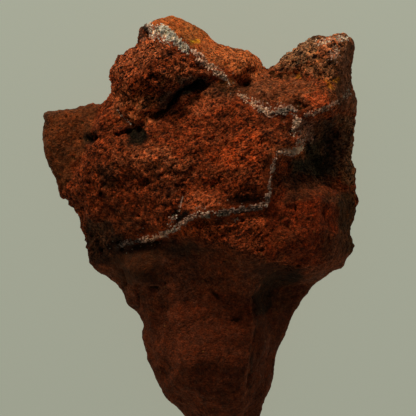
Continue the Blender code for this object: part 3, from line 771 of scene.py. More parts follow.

# %% [markdown]
# The earth of the rock isn't one red. The cap and the shoulder are orange-brown, the wing is a dull
# olive brown, the lip above the recess is bright orange, and the break below the ledge is dark. The
# washes on the side of the neck, the recess and the two hollows are painted shade. Each of these is
# an outline with a colour, to be laid over the ones before it like a thin wash of paint, as (outline,
# softness of its border in millimetres, colour, strength). The regions come first.

# %% Washes of the regions
RED_EARTH = (0.40, 0.068, 0.0195)
WASHES = [
    (BULGE, 3, (0.34, 0.048, 0.0132), 0.9), (LEFT_FACE, 4, (0.44, 0.076, 0.023), 0.8),
    (UNDERSIDE, 4, (0.29, 0.074, 0.033), 1), (NECK, 5, (0.265, 0.056, 0.022), 1),
    # NECK_SIDE: painted shade on the side of the neck that turns from the light
    (NECK_SIDE, 0.8, (0.185, 0.038, 0.0135), 1), (WING, 1.5, (0.285, 0.07, 0.0215), 1),
    (SHOULDER, 3, (0.43, 0.112, 0.042), 0.9), (HORN, 2, (0.48, 0.158, 0.064), 1),
    (HORN_SIDE, 1.5, (0.30, 0.09, 0.043), 1), (CAP, 1.5, (0.82, 0.205, 0.052), 1),
    # RECESS and the lines below it: painted shade in the recess, its deepest part and the two hollows
    (SADDLE, 2, (0.92, 0.22, 0.066), 0.95), (RECESS, 3.5, (0.18, 0.058, 0.026), 1),
    (HOLLOW_RIGHT, 1, (0.065, 0.03, 0.015), 0.9),
    (HOLLOW_DEEP, 2.4, (0.17, 0.085, 0.05), 0.9), (RECESS_DEEP, 2.5, (0.078, 0.052, 0.028), 0.9),
]
print(len(WASHES), "washes on the regions")

# %% [markdown]
# Then come patches on single features, several of them painted light and painted shade: the painted
# shadow at the foot of a ledge, painted light on a knob, a rusty stain, a painted dark line down the
# shaded side of the neck. They are listed in the order in which they are laid.

# %% Patches on single features
PATCHES = [
    # painted shade: a dark line where the neck's front turns into its side
    ([(11, -22), (11.6, -22), (12.1, -28), (11.4, -34.8), (10.2, -46), (9.6, -46), (10.7, -34.8),
      (11.4, -28)], 0.5, (0.05, 0.02, 0.01), 0.7),
    # painted shade: the darkest core of the hollow under the head lump
    ([(-0.2, 32.6), (-4, 31.8), (-7, 30.2), (-8, 27.4), (-5, 28), (-1, 30.6)], 1.2,
     (0.07, 0.065, 0.048), 0.9),
    ([(-6, 27.6), (0, 30.4), (2, 27.6), (-4, 24.6)], 1.6, (0.72, 0.16, 0.05), 0.8),
    # painted shadow: a dark band under the long ledge
    ([(-17, -9.7), (-8, -8.2), (2, -10.8), (6, -12.8), (2, -14), (-8, -12), (-17, -13)], 1.6,
     (0.09, 0.04, 0.02), 0.7),
    ([(24.5, 28.4), (27, 29.6), (30, 28), (31.2, 25.5), (27, 24.8), (24.5, 26)], 1.1,
     (0.88, 0.14, 0.04), 1),
    ([(33, 22), (37, 22), (37, 6), (33.5, 6)], 1.5, (0.36, 0.12, 0.05), 1),
    ([(-16, 47.4), (-8, 47.4), (-6, 45), (-15, 44.2)], 1.4, (0.8, 0.18, 0.045), 0.8),
    ([(32, 4), (37, 4), (38, -12), (33, -12)], 2, (0.125, 0.04, 0.0125), 1),
    ([(22.5, 22), (26.5, 22), (26.5, 16), (22.5, 16)], 1.5, (0.42, 0.16, 0.10), 0.8),
    # painted shadow: a dark band under the left end of the long ledge
    ([(-31, -3), (-24, -4), (-18, -8.5), (-11, -7.6), (-12, -11), (-20, -14), (-30, -14)], 2,
     (0.09, 0.03, 0.014), 1),
    # painted shade: the face above the ledge, where it turns away from the light
    ([(4.5, 2.6), (8, 3.4), (13.4, 2.8), (13.6, 1), (8, 0.4), (5, 0.8)], 1.2,
     (0.12, 0.03, 0.012), 0.9),
    ([(-31.5, 18.6), (-27.4, 19), (-28, 16), (-31.2, 15.6)], 1, (0.05, 0.025, 0.012), 0.9),
    ([(-22, 25.5), (-15.4, 21.4), (-14, 21), (-17, 25.5), (-20, 28)], 1, (0.62, 0.13, 0.04), 1),
    # painted light on the top of a knob
    ([(-20, 16), (-10, 15.6), (-8, 12), (-12, 10), (-19, 11)], 2, (0.58, 0.14, 0.05), 0.9),
    # painted light on the tongue, which faces the light
    ([(-5.6, 3.6), (-2, 4), (3, 2.6), (2, -0.8), (-4, -1.6), (-7, -3)], 1.2, (0.74, 0.14, 0.044), 1),
    ([(-10, -5.4), (0, -2.8), (14, -1.4), (14, -4), (4, -6), (-9, -7.4)], 1, (0.46, 0.085, 0.024), 0.9),
    ([(-28, 11), (-23, 11.4), (-22, 5), (-26, 4)], 2, (0.16, 0.045, 0.018), 0.8),
    ([(2, 32), (6, 32.4), (6.4, 28.6), (2.4, 28)], 1.4, (0.20, 0.075, 0.02), 0.8),
    ([(-10, 26), (-6, 27.6), (0, 30), (6, 28), (-2, 23)], 1.6, (0.68, 0.14, 0.048), 0.8),
    ([(-25, 35), (-20, 41), (-13, 44), (-9, 40), (-14, 36), (-21, 31)], 2,
     (0.56, 0.125, 0.045), 0.85),
    ([(0, 12), (9, 20), (14, 20), (13, 12), (6, 8)], 4, (0.70, 0.105, 0.026), 0.8),
    ([(-14, 6), (-8, 8), (-6, 2), (-11, 0)], 2, (0.20, 0.05, 0.02), 0.7),
    ([(14.5, -6), (18, -4), (20, -8), (17, -11)], 3, (0.44, 0.07, 0.018), 0.7),
    ([(18, 8), (24, 7), (26, 2), (19, 1)], 2.4, (0.12, 0.032, 0.012), 0.9),
    ([(16, -5), (23, -5), (23, -9), (17, -9)], 2.5, (0.22, 0.045, 0.014), 0.7),
    ([(28, 4), (33, 4), (33, 1), (29, 1)], 2, (0.14, 0.04, 0.016), 0.9),
    ([(29, -6), (35, -6), (35, -14), (28, -13)], 2.5, (0.20, 0.05, 0.018), 0.8),
    ([(-3, -11), (8, -12), (9, -24), (-1, -22)], 3, (0.46, 0.098, 0.036), 0.9),
    ([(-14, -22), (-8, -22), (-8, -27), (-15, -27)], 3, (0.34, 0.075, 0.03), 0.7),
    ([(-25, -12), (-12, -10), (-12, -18), (-21, -19)], 3, (0.125, 0.037, 0.014), 0.9),
]
print(len(PATCHES), "patches on single features")

# %% [markdown]
# A first render, laid beside the photograph, showed where the earth was still too light or too dark.
# These patches mend that. Many of them paint light into places that lie in shadow here, and others
# paint shade into places that are lit. Most of them are plain, as only a border that is soft and
# shaken remains of their outline.

# %% Patches that mend the first ones
PATCHES += [
    ([(-41.5, 25), (-33, 25.5), (-33, 24.4), (-40, 23.4), (-41, 12), (-42.5, 12)], 0.7,
     (0.22, 0.085, 0.045), 0.6),
    ([(-1, 31), (10.8, 31), (10.8, 28), (4, 26.6), (-1, 28)], 1.4, (0.2, 0.055, 0.021), 0.85),
    ([(-12.6, 40), (-9, 39.6), (-8, 36.6), (-12, 37)], 1.6, (0.2, 0.045, 0.017), 0.8),
    # painted light below the cap, where the cap throws a shadow
    ([(-16.5, 41.4), (-12.8, 41), (-12.4, 38), (-16, 37.8)], 1, (0.9, 0.2, 0.07), 0.9),
    # painted light on the knob's lower face, which lies in shade
    ([(-24, 30.4), (-15.6, 30), (-15, 19.6), (-23, 22)], 2, (0.64, 0.14, 0.045), 0.8),
    # painted light between lumps that shade each other
    ([(-16, 12), (-4, 12.4), (-5, 8), (-17, 8)], 2, (0.62, 0.14, 0.05), 0.8),
    ([(-24, 14), (-11, 14.6), (-12, 9.4), (-16, 10.6), (-23, 11)], 2, (0.52, 0.115, 0.04), 0.7),
    ([(28, 14), (34.6, 22), (36, 22), (36, 12), (33, 8)], 2, (0.36, 0.13, 0.06), 0.8),
    # painted light on the lip over the hollow under the head lump
    ([(-11, 37), (1, 35.4), (1, 33.6), (-9, 32.2)], 1.6, (0.56, 0.12, 0.04), 0.7),
    # painted light on the strip under the long ledge, in the ledge's shadow
    ([(-17, -4.6), (4, -2.6), (14, -1.8), (14, -4.6), (2, -6.6), (-14, -8)], 1.2,
     (0.60, 0.102, 0.029), 0.9),
    ([(15, 15.6), (24, 16), (24, 12.4), (16, 12)], 1.4, (0.66, 0.15, 0.05), 0.8),
    # painted shade in the darkest part of the recess
    ([(28.6, 22), (32, 22), (32, 8), (29, 10)], 1.6, (0.13, 0.06, 0.034), 0.9),
    ([(-30, -3), (-25, -3), (-25, -9), (-29, -8)], 1.6, (0.26, 0.08, 0.035), 0.7),
    ([(14.4, 12), (18, 12), (17.6, 3), (14, 2)], 1.6, (0.17, 0.035, 0.011), 0.7),
    ([(0.4, 10.4), (10, 10), (10, 6.6), (0, 7.6)], 2.4, (0.24, 0.05, 0.016), 0.6),
    ([(-24, -0.6), (-16, -1.6), (-16, -6.4), (-24, -6)], 2, (0.19, 0.045, 0.016), 0.8),
    ([(-2.6, 30.6), (2.4, 30.8), (2, 27.2), (-1.6, 27)], 1, (0.27, 0.075, 0.03), 0.8),
    ([(12.5, 27), (22.5, 26), (22.5, 17), (12.5, 17)], 1.4, (0.23, 0.05, 0.018), 0.75),
    # painted light under the head lump, where its own shade falls
    ([(-17.6, 28), (-13, 28), (-12.6, 22), (-17.6, 21.4)], 1.2, (0.85, 0.21, 0.07), 0.9),
    # painted light under the head lump, where its own shade falls
    ([(-12.4, 33.4), (-7, 33.4), (-7, 29.6), (-12, 29.6)], 1.2, (0.55, 0.13, 0.045), 0.8),
    ([(-21.5, 18), (-14, 17.6), (-13, 13.6), (-21, 14)], 1.4, (0.26, 0.06, 0.021), 0.7),
    # painted light in a hollow between lumps
    ([(-17, 12), (-10.6, 12), (-10.6, 8.6), (-17, 9.4)], 1, (0.95, 0.2, 0.07), 0.9),
    # painted shade in and round the pits on the left of the face
    ([(-20.4, 20), (-15.4, 20.2), (-14.2, 17.2), (-16.6, 16), (-20.2, 16.6)], 1.6,
     (0.03, 0.018, 0.009), 1),
    ([(-13, 9.6), (-3, 9.6), (-3, 7), (-13, 7)], 1.2, (0.7, 0.145, 0.05), 0.8),
    ([(-9.6, -1.4), (-6, -0.6), (-5, -3), (-9, -5)], 0.8, (0.2, 0.045, 0.016), 0.8),
    ([(-7.8, -1.6), (-4.8, -1.2), (-5, -2.4), (-8.6, -4.2)], 0.5, (0.02, 0.01, 0.006), 1),
    ([(11, -13.6), (22, -13.8), (24, -16), (14, -17), (11, -16)], 1, (0.12, 0.034, 0.0135), 0.8),
    ([(17, -11.6), (20.6, -11.6), (20.6, -13.4), (17, -13.4)], 0.6, (0.6, 0.1, 0.03), 0.8),
    ([(7.6, 35), (11.4, 35), (11.4, 31.6), (7.6, 31.6)], 1, (0.6, 0.17, 0.06), 0.9),
    ([(-21, -21), (-15.6, -21), (-15.6, -26.6), (-20, -27)], 1.2, (0.2, 0.046, 0.018), 0.7),
    # painted light where lumps shade the face
    ([(-20.5, 24), (-16, 24), (-15.6, 20.6), (-19.6, 20.2)], 1, (0.72, 0.16, 0.05), 1),
    # painted light over the shade of the lumps
    ([(-16.4, 13.4), (-10.4, 13.4), (-10.4, 10.4), (-16, 10.4)], 1.2, (0.85, 0.18, 0.062), 0.9),
    ([(32.4, 23), (36.5, 23), (36.5, 9), (33, 9)], 1.2, (0.34, 0.125, 0.058), 0.8),
    ([(23, 8.4), (31, 8), (31, 3.4), (24, 3)], 1.6, (0.17, 0.042, 0.015), 0.7),
    ([(16, -20.5), (22.5, -19), (20, -25), (16, -27)], 1.5, (0.21, 0.052, 0.019), 0.9),
    # painted light on the top of the neck, in the ledge's shadow
    ([(1.7, -23), (11, -23), (11, -25.6), (2, -25.6)], 1.4, (0.42, 0.09, 0.035), 0.7),
    ([(5.5, -27), (10.4, -27), (10.4, -30), (6, -30)], 1.2, (0.17, 0.038, 0.015), 0.7),
]
print(len(PATCHES), "patches so far")

# %% [markdown]
# Last come small marks: four dots of yellow limonite, a notch in the cap, a dark spot below the horn,
# and the olive flank and the pink top of the horn.

# %% Small marks
PATCHES += [
    ([(-4.1, 42.2), (-2.3, 42.2), (-2.3, 41.1), (-4.1, 41.1)], 0.3, (1, 0.36, 0.02), 1),
    ([(22, 33.6), (23.6, 33.6), (23.6, 32.4), (22, 32.4)], 0.4, (0.85, 0.25, 0.02), 0.8),
    ([(29.4, 31.2), (30.8, 31.2), (30.8, 29.8), (29.4, 29.8)], 0.4, (0.85, 0.25, 0.02), 0.8),
    ([(-17.6, 46), (-15.8, 46), (-15.6, 42.4), (-17.6, 42)], 0.8, (0.2, 0.09, 0.055), 0.7),
    ([(30.8, 32), (33, 32), (33, 28.6), (31, 28.6)], 0.9, (0.2, 0.06, 0.022), 0.7),
    ([(17, 38), (22, 42.6), (27, 43.4), (27, 37.4), (21, 35.4)], 1.3, (0.5, 0.225, 0.115), 0.8),
    ([(27.6, 42.4), (33, 43), (33, 37.4), (28, 37)], 1.2, (0.72, 0.2, 0.085), 0.8),
    ([(31, 32.4), (32.2, 32.4), (32.2, 31.2), (31, 31.2)], 0.4, (0.85, 0.25, 0.02), 0.8),
]
print("the rock wears", len(WASHES + PATCHES), "washes in all")

# %% [markdown]
# A wash with a sharp straight border would look cut from paper. So the places are shaken by noise
# before the outlines are measured, in broad swings and in small ones, and the borders come out
# ragged. The noise has a seed of its own, because mathutils would otherwise take one from the clock.
# What looks down or sideways has one plain earth colour, since no wash was made for it.

# %% Lay the washes
SHAKES = ((2.6, 1.1), (0.9, 0.5))
SHAKE_SEED = 7
SIDE_EARTH = (0.22, 0.055, 0.02)
UPWARD = (-0.2, 0.2)
DUSTED = (0.3, 4)
noise.seed_set(SHAKE_SEED)


def shaken(places):
    """The places, each moved a little at random, but close ones alike."""
    moved = places.copy()
    for size, reach in SHAKES:
        moved += reach * np.array([noise.noise_vector(Vector(place) / size) for place in places])
    return moved


def coated(places, ground, coats):
    """The ground colour with many others laid over it in turn, each as (share, colour)."""
    colours = np.tile(np.array(ground), (len(places), 1))
    for share, colour in coats:
        colours += share[:, None] * (np.array(colour) - colours)
    return colours


def store_colour(item, name, colours):
    """Keep a colour for each vertex under a name."""
    kept = item.data.attributes.new(name, "FLOAT_COLOR", "POINT")
    opaque = np.column_stack([colours, np.ones(len(colours))])
    kept.data.foreach_set("color", opaque.astype(np.float32).ravel())


ragged = shaken(places)
upward = step(normals[:, 2], *UPWARD)[:, None]
# the washes and patches hold painted light and painted shade as well as the earth's own colour
earth = coated(ragged, RED_EARTH, (
    (strength * inside(ragged, outline, softness), colour)
    for outline, softness, colour, strength in WASHES + PATCHES
))
earth = earth * upward + np.array(SIDE_EARTH) * (1 - upward)
store_colour(rock, "earth", earth)
store(rock, "near_seam", 1 - step(seam_distance(places), *DUSTED))
print("mean earth colour:", [round(float(part), 3) for part in earth.mean(axis=0)])

# %% [markdown]
# Calcite has also grown in small places away from the seams: on the tip of the horn, as grey
# crystals at the right edge, and in thin white lines. The tables say where, and how thickly: spots
# as (x, y, long, wide, turn, amount) and lines as (points, half width, amount). The rock's own
# finish turns pale and speckled there, and a few loose rhombs are set on it later.

# %% Grains away from the seams
GRAIN_SPOTS = [
    (29, 41.6, 3.6, 1.2, 15, 0.9), (33.4, 42.4, 2.4, 1.2, 0, 1), (31.6, 38.4, 3.4, 2, 60, 0.75),
    (34.6, 28.4, 2.2, 1.3, 60, 0.7), (6.9, -2.9, 1.3, 0.9, 0, 1),
    (-1.4, 0.2, 3.4, 0.5, 10, 0.5), (-8.7, -2.4, 1.4, 1.2, 20, 0.9), (-9.4, -3.6, 2, 0.6, 60, 0.6),
    (20, 14.4, 4.2, 1.2, 8, 0.6), (22, 20.4, 1.2, 4, 0, 0.4), (28, 24.2, 4, 0.9, 15, 0.6),
    (22.8, 16.4, 2, 1.1, 30, 0.9),
    (14, 25.4, 4, 1.6, -30, 0.5), (19, 24.6, 4, 1.6, 0, 0.5), (8.6, 28, 2.2, 0.8, -20, 0.5),
    (-11, 43, 4.6, 2.4, -40, 1), (-13.5, 44.8, 2.4, 1, -10, 0.8), (-13.8, 42.8, 1.6, 1.2, -30, 1),
    (18.4, 13.7, 2.8, 0.5, 8, 0.9), (22.4, 15.2, 1.2, 0.8, 30, 0.9), (21.4, 19.6, 0.8, 2.4, 0, 0.9),
    (14.2, 0.7, 0.9, 0.7, 0, 1),
    (-3.4, 38.4, 1.8, 1, -45, 0.6), (24.5, 17, 3, 3.4, 0, 0.15),
]
GRAIN_LINES = [
    ([(-22.5, 24.5), (-20.8, 22.2), (-18.8, 20.7)], 0.2, 1.0),
    ([(-6.2, 3), (-6.9, 0.4), (-7.8, -1.4), (-8.8, -3.4), (-9.6, -5.2)], 0.35, 0.8),
    ([(3.6, 33.6), (4.9, 32), (5.7, 30.2)], 0.3, 0.9),
    ([(24.4, 23), (27, 23.8), (32, 26.4)], 0.8, 1),
]


def calcite_share(places):
    """How much of the surface is calcite, from the spots and lines of grains."""
    share = np.zeros(len(places))
    for x, y, long, wide, turn, amount in GRAIN_SPOTS:
        share = np.maximum(share, amount * spot(places, x, y, long, wide, turn))
    for line, width, amount in GRAIN_LINES:
        share = np.maximum(share, amount * bell(line_distance(places, line) / width))
    return share


dusty = calcite_share(places)
store(rock, "calcite_dust", dusty)
print("calcite grains on", round(100 * float((dusty > 0).mean()), 1), "% of the rock's vertices")

# %% [markdown]
# Three shader node groups serve the rock and the calcite alike. The same nodes could be built twice,
# but a group is made once and used in both with other values. A group gives out only colours and
# values, and the shader that uses them stays in the material.

# %% Helpers for shader groups
def tint(tree, share, colour, over):
    """Mix a colour over another by a share."""
    return add(tree, "ShaderNodeMix", {0: share, 6: over, 7: colour}, data_type="RGBA").outputs[2]


def shader_group(name, inputs, outputs):
    """An empty shader node group with named inputs and outputs."""
    tree = bpy.data.node_groups.new(name, "ShaderNodeTree")
    add_sockets(tree, "INPUT", inputs)
    add_sockets(tree, "OUTPUT", outputs)
    return tree, add(tree, "NodeGroupInput").outputs


def swing(tree, value, amount):
    """Turn a value about 0.5 into a factor about 1, by an amount."""
    centred = maths(tree, "SUBTRACT", value, 0.5)
    return maths(tree, "MULTIPLY_ADD", centred, amount, 1.0)


# %% [markdown]
# The first group mottles a colour in patches and in grains. Every grain gets a shade and a tone of
# its own, from rusty to olive, and the patches turn rusty where they are lightest. The same grains
# are given out as a height, so that bumps and shades agree.

# %% A group for mottled earth
RUST_TONE = (1.08, 0.99, 0.84, 1)
OLIVE_TONE = (0.88, 1.04, 1.15, 1)
RUSTY = (1.1, 0.9, 0.72)
RUSTY_PATCHES = (0.45, 0.62)
DARKEST = 0.12


def mottle_group():
    """Patches and grains of lighter and darker earth."""
    tree, given = shader_group("mottled earth", [
        ("Vector", "Vector", None), ("Colour", "Color", None), ("Patch size", "Float", 0.005),
        ("Patch contrast", "Float", 1.0), ("Grain size", "Float", 0.0005),
        ("Grain contrast", "Float", 1.0), ("Rust", "Float", 0.3),
    ], [("Colour", "Color", None), ("Height", "Float", None)])
    patches = clouds(tree, given["Vector"], given["Patch size"], 3.0, 0.6)
    grains = clouds(tree, given["Vector"], given["Grain size"], 3.0, 0.75)
    cells = split_cells(tree, given["Vector"], given["Grain size"])
    chances = add(tree, "ShaderNodeSeparateColor", {0: cells["Color"]}).outputs
    shade = swing(tree, patches, maths(tree, "MULTIPLY", given["Patch contrast"], 2.0))
    shade = maths(tree, "MULTIPLY", shade,
                  swing(tree, grains, maths(tree, "MULTIPLY", given["Grain contrast"], 2.0)))
    shade = maths(tree, "MULTIPLY", shade, swing(tree, chances[0], given["Grain contrast"]))
    shade = maths(tree, "MAXIMUM", shade, DARKEST)
    tone = tint(tree, chances[1], OLIVE_TONE, RUST_TONE)
    shaded = scaled(tree, vectors(tree, "MULTIPLY", given["Colour"], tone), shade)
    rusty = vectors(tree, "MULTIPLY", shaded, RUSTY)
    rust = maths(tree, "MULTIPLY", smooth_step(tree, patches, *RUSTY_PATCHES), given["Rust"])
    height = maths(tree, "SUBTRACT", grains, maths(tree, "MULTIPLY", cells["Distance"], 0.5))
    add(tree, "NodeGroupOutput", {"Colour": tint(tree, rust, rusty, shaded), "Height": height})
    return tree


MOTTLE = mottle_group()
print("mottled earth has", len(MOTTLE.nodes), "nodes")

# %% [markdown]
# The second group scatters specks of one size, such as black manganese grains. Each Voronoi cell
# has a speck in its middle, and a random number of the cell decides whether it shows.

# %% A group for specks
SPECK_CORE = 0.6


def speck_group():
    """Specks of one size at random places."""
    tree, given = shader_group("specks", [
        ("Vector", "Vector", None), ("Spacing", "Float", 0.001), ("Width", "Float", 0.3),
        ("Share", "Float", 0.1), ("Shift", "Vector", None),
    ], [("Mask", "Float", None)])
    place = vectors(tree, "ADD", given["Vector"], given["Shift"])
    cells = split_cells(tree, place, given["Spacing"])
    inner = maths(tree, "MULTIPLY", given["Width"], SPECK_CORE)
    speck = rest(tree, smooth_step(tree, cells["Distance"], inner, given["Width"]))
    chance = add(tree, "ShaderNodeSeparateColor", {0: cells["Color"]}).outputs[0]
    chosen = maths(tree, "GREATER_THAN", chance, rest(tree, given["Share"]))
    add(tree, "NodeGroupOutput", {"Mask": maths(tree, "MULTIPLY", speck, chosen)})
    return tree


SPECKS = speck_group()
print("specks have", len(SPECKS.nodes), "nodes")

# %% [markdown]
# The third group darkens the colour with dust and painted shade: dark and a little duller where the
# mesh was found to be hollow, lighter on its crests. Ambient occlusion could give that shade in the
# render, but a value measured on the mesh stays the same from every side.

# %% A group for dust and painted shade in hollows
DUST_AND_SHADE_TONE = (0.85, 1.25, 1.15)


def hollow_shade_group():
    """Dust and painted shade in the hollows and pale crests, by the depths measured on the mesh."""
    tree, given = shader_group("shaded and dusty hollows", [
        ("Colour", "Color", None), ("Hollow", "Float", 0.0), ("Dip", "Float", 0.0),
        ("Hollow depth", "Float", 0.2), ("Dip depth", "Float", 1.0), ("Shade and dust", "Float", 0.7),
        ("Crest light", "Float", 0.3),
    ], [("Colour", "Color", None)])
    near = smooth_step(tree, given["Hollow"], 0.0, given["Hollow depth"])
    wide = smooth_step(tree, given["Dip"], 0.0, given["Dip depth"])
    # how much dust and painted shade each hollow gets
    dark = maths(tree, "MAXIMUM", near, wide)
    kept = rest(tree, maths(tree, "MULTIPLY", dark, given["Shade and dust"]))
    high = maths(tree, "MULTIPLY", given["Hollow"], -1.0)
    crest = smooth_step(tree, high, 0.0, given["Hollow depth"])
    lift = maths(tree, "MULTIPLY_ADD", crest, given["Crest light"], 1.0)
    factor = maths(tree, "MULTIPLY", kept, lift)
    worn = scaled(tree, given["Colour"], factor)
    dusty = vectors(tree, "MULTIPLY", worn, DUST_AND_SHADE_TONE)
    add(tree, "NodeGroupOutput", {"Colour": tint(tree, dark, dusty, worn)})
    return tree


HOLLOW_SHADE = hollow_shade_group()
print("shaded and dusty hollows have", len(HOLLOW_SHADE.nodes), "nodes")

# %% [markdown]
# In a material the groups are placed like any other node, with values of their own. One more small
# step reads an attribute of the mesh.

# %% Helpers for materials
def place_group(tree, group, inputs):
    """Put a shader group in a material, with its own values."""
    return add(tree, "ShaderNodeGroup", inputs, node_tree=group).outputs


def attribute(tree, name, output="Fac"):
    return add(tree, "ShaderNodeAttribute", attribute_name=name).outputs[output]


# %% [markdown]
# The earth's colour comes from the washes on the mesh. It is mottled twice, in fine grains and in
# coarse patches, more strongly where the rock is rubbly, and then darkened in its hollows with dust
# and painted shade.

# %% Mottled earth, with dust and painted shade in its hollows
EARTH_CONTRAST = (1.25, 0.3)


def mottled_and_shaded_earth(tree, place, rubble):
    """The earth with its mottling, its dust and painted shade, and the height of its grains."""
    contrast = maths(tree, "MULTIPLY_ADD", rubble, *EARTH_CONTRAST)
    mottled = place_group(tree, MOTTLE, {
        "Vector": place, "Colour": attribute(tree, "earth", "Color"), "Patch size": 4 * MM,
        "Patch contrast": 0.6, "Grain size": 0.38 * MM, "Grain contrast": contrast, "Rust": 0.6,
    })
    coarse = place_group(tree, MOTTLE, {
        "Vector": place, "Colour": mottled["Colour"], "Patch size": 1.6 * MM,
        "Patch contrast": contrast, "Grain size": 0.9 * MM, "Grain contrast": 0.3, "Rust": 0.0,
    })
    # dust and painted shade in the hollows
    worn = place_group(tree, HOLLOW_SHADE, {
        "Colour": coarse["Colour"], "Hollow": attribute(tree, "hollow"),
        "Dip": attribute(tree, "dip"), "Hollow depth": 0.14, "Dip depth": 1.4, "Shade and dust": 0.6,
        "Crest light": 0.4,
    })["Colour"]
    return worn, mottled["Height"]


# %% [markdown]
# A few grains are black manganese, yellow limonite or white calcite, the white ones only near a
# seam. The black ones come in two sizes and are drawn out along the grain. They could be modelled,
# but they are less than a millimetre wide and stand out by their colour alone.

# %% Specks in the earth
DASH_STRETCH = 2.2
BLACK = (0.03, 0.012, 0.008, 1)
OCHRE = (0.55, 0.19, 0.045, 1)
PALE = (0.62, 0.42, 0.28, 1)
COVER = {"black": 0.8, "ochre": 0.6, "pale": 0.8, "chalk": 0.85}


def speck_mask(tree, place, spacing, width, share, shift):
    """Where specks are, from their spacing in millimetres and their share of all cells."""
    return place_group(tree, SPECKS, {
        "Vector": place, "Spacing": spacing * MM, "Width": width, "Share": share, "Shift": shift,
    })["Mask"]


def specked(tree, place, rubble, colour):
    """The earth with specks over it, and where the black ones are."""
    along = add(tree, "ShaderNodeMapping",
                {"Vector": place, "Rotation": (0, 0, GRAIN_TURN), "Scale": (DASH_STRETCH, 1, 1)},
                vector_type="TEXTURE").outputs[0]
    small = speck_mask(tree, along, 0.55, 0.46, 0.3, (0.1, 0, 0))
    large = speck_mask(tree, along, 1.3, 0.36, 0.36, (0.3, 0.2, 0))
    ochre = speck_mask(tree, place, 1.2, 0.26, 0.05, (0, 0.1, 0))
    white = speck_mask(tree, place, 0.7, 0.36, 0.07, (0, 0, 0.1))
    blackness = maths(tree, "MAXIMUM", small, large)
    blackness = maths(tree, "MULTIPLY", blackness, maths(tree, "MULTIPLY", rubble, COVER["black"]))
    colour = tint(tree, blackness, BLACK, colour)
    colour = tint(tree, maths(tree, "MULTIPLY", ochre, COVER["ochre"]), OCHRE, colour)
    whiteness = maths(tree, "MULTIPLY", white, attribute(tree, "near_seam"))
    colour = tint(tree, maths(tree, "MULTIPLY", whiteness, COVER["pale"]), PALE, colour)
    return colour, blackness


# %% [markdown]
# Where the tables of grains ask for calcite, the earth turns chalky. A noise decides which grains
# do, and more of them pass its border where the tables ask for more.

# %% Chalky grains
CHALK = (0.8, 0.55, 0.4, 1)
CHALK_LIFT = 0.22
CHALK_BORDER = (0.645, 0.71)
CHALK_EDGE = (0.0, 0.2)


def chalked(tree, place, colour):
    """The earth with chalky grains where the mesh asks for them."""
    sugar = add(tree, "ShaderNodeTexNoise", {"Vector": place, "Scale": 1 / (0.5 * MM), "Detail": 2.0,
                                             "Roughness": 0.75}).outputs["Fac"]
    amount = attribute(tree, "calcite_dust")
    chalk = maths(tree, "ADD", sugar, maths(tree, "MULTIPLY", amount, CHALK_LIFT))
    chalk = smooth_step(tree, chalk, *CHALK_BORDER)
    chalk = maths(tree, "MULTIPLY", chalk, smooth_step(tree, amount, *CHALK_EDGE))
    return tint(tree, maths(tree, "MULTIPLY", chalk, COVER["chalk"]), CHALK, colour)


# %% [markdown]
# Hematite earth is dull and soft, with no gloss at all, so the shader is nearly fully rough. The
# same heights that shade the grains also bump them, and the black specks are sunk a little.

# %% The hematite finish
def hematite_finish(material):
    """Dull earth, mottled, worn and specked."""
    material.use_nodes = True
    tree = material.node_tree
    shader = tree.nodes["Principled BSDF"]
    place = add(tree, "ShaderNodeTexCoord").outputs["Object"]
    rubble = attribute(tree, "rubble")
    earth, grains = mottled_and_shaded_earth(tree, place, rubble)
    colour, blackness = specked(tree, place, rubble, earth)
    tree.links.new(chalked(tree, place, colour), shader.inputs["Base Color"])
    shader.inputs["Roughness"].default_value = 0.92
    shader.inputs["Specular IOR Level"].default_value = 0.1
    height = maths(tree, "SUBTRACT", grains, maths(tree, "MULTIPLY", blackness, 0.5))
    bump = add(tree, "ShaderNodeBump", {"Height": height, "Strength": 1.0, "Distance": 0.35 * MM})
    tree.links.new(bump.outputs[0], shader.inputs["Normal"])


hematite_finish(hematite)
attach(rock, "root")
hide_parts(ROCK_NODE)
print("hematite has", len(hematite.node_tree.nodes), "nodes")

# %% [markdown]
# Calcite breaks along three planes into leaning boxes, called rhombs. One rhomb is a cube stood on
# its corner and pressed flat. It is copied to random places, with a random turn, size and shade,
# by Geometry Nodes: hundreds of such copies by hand would take days, and a particle system would
# be lost in the export.

# %% The crystal scatter
CRYSTAL_INPUTS = [
    ("Geometry", "Geometry", None), ("Crystal size", "Float", 0.0005),
    ("Crystal density", "Float", 1000000.0), ("Seed", "Int", 0), ("Material", "Material", None),
]
BOX_TURN = math.atan(1 / math.sqrt(2))
BOX_HEIGHT = 0.72
SMALLEST = 0.35
MOSTLY_SMALL = 1.6


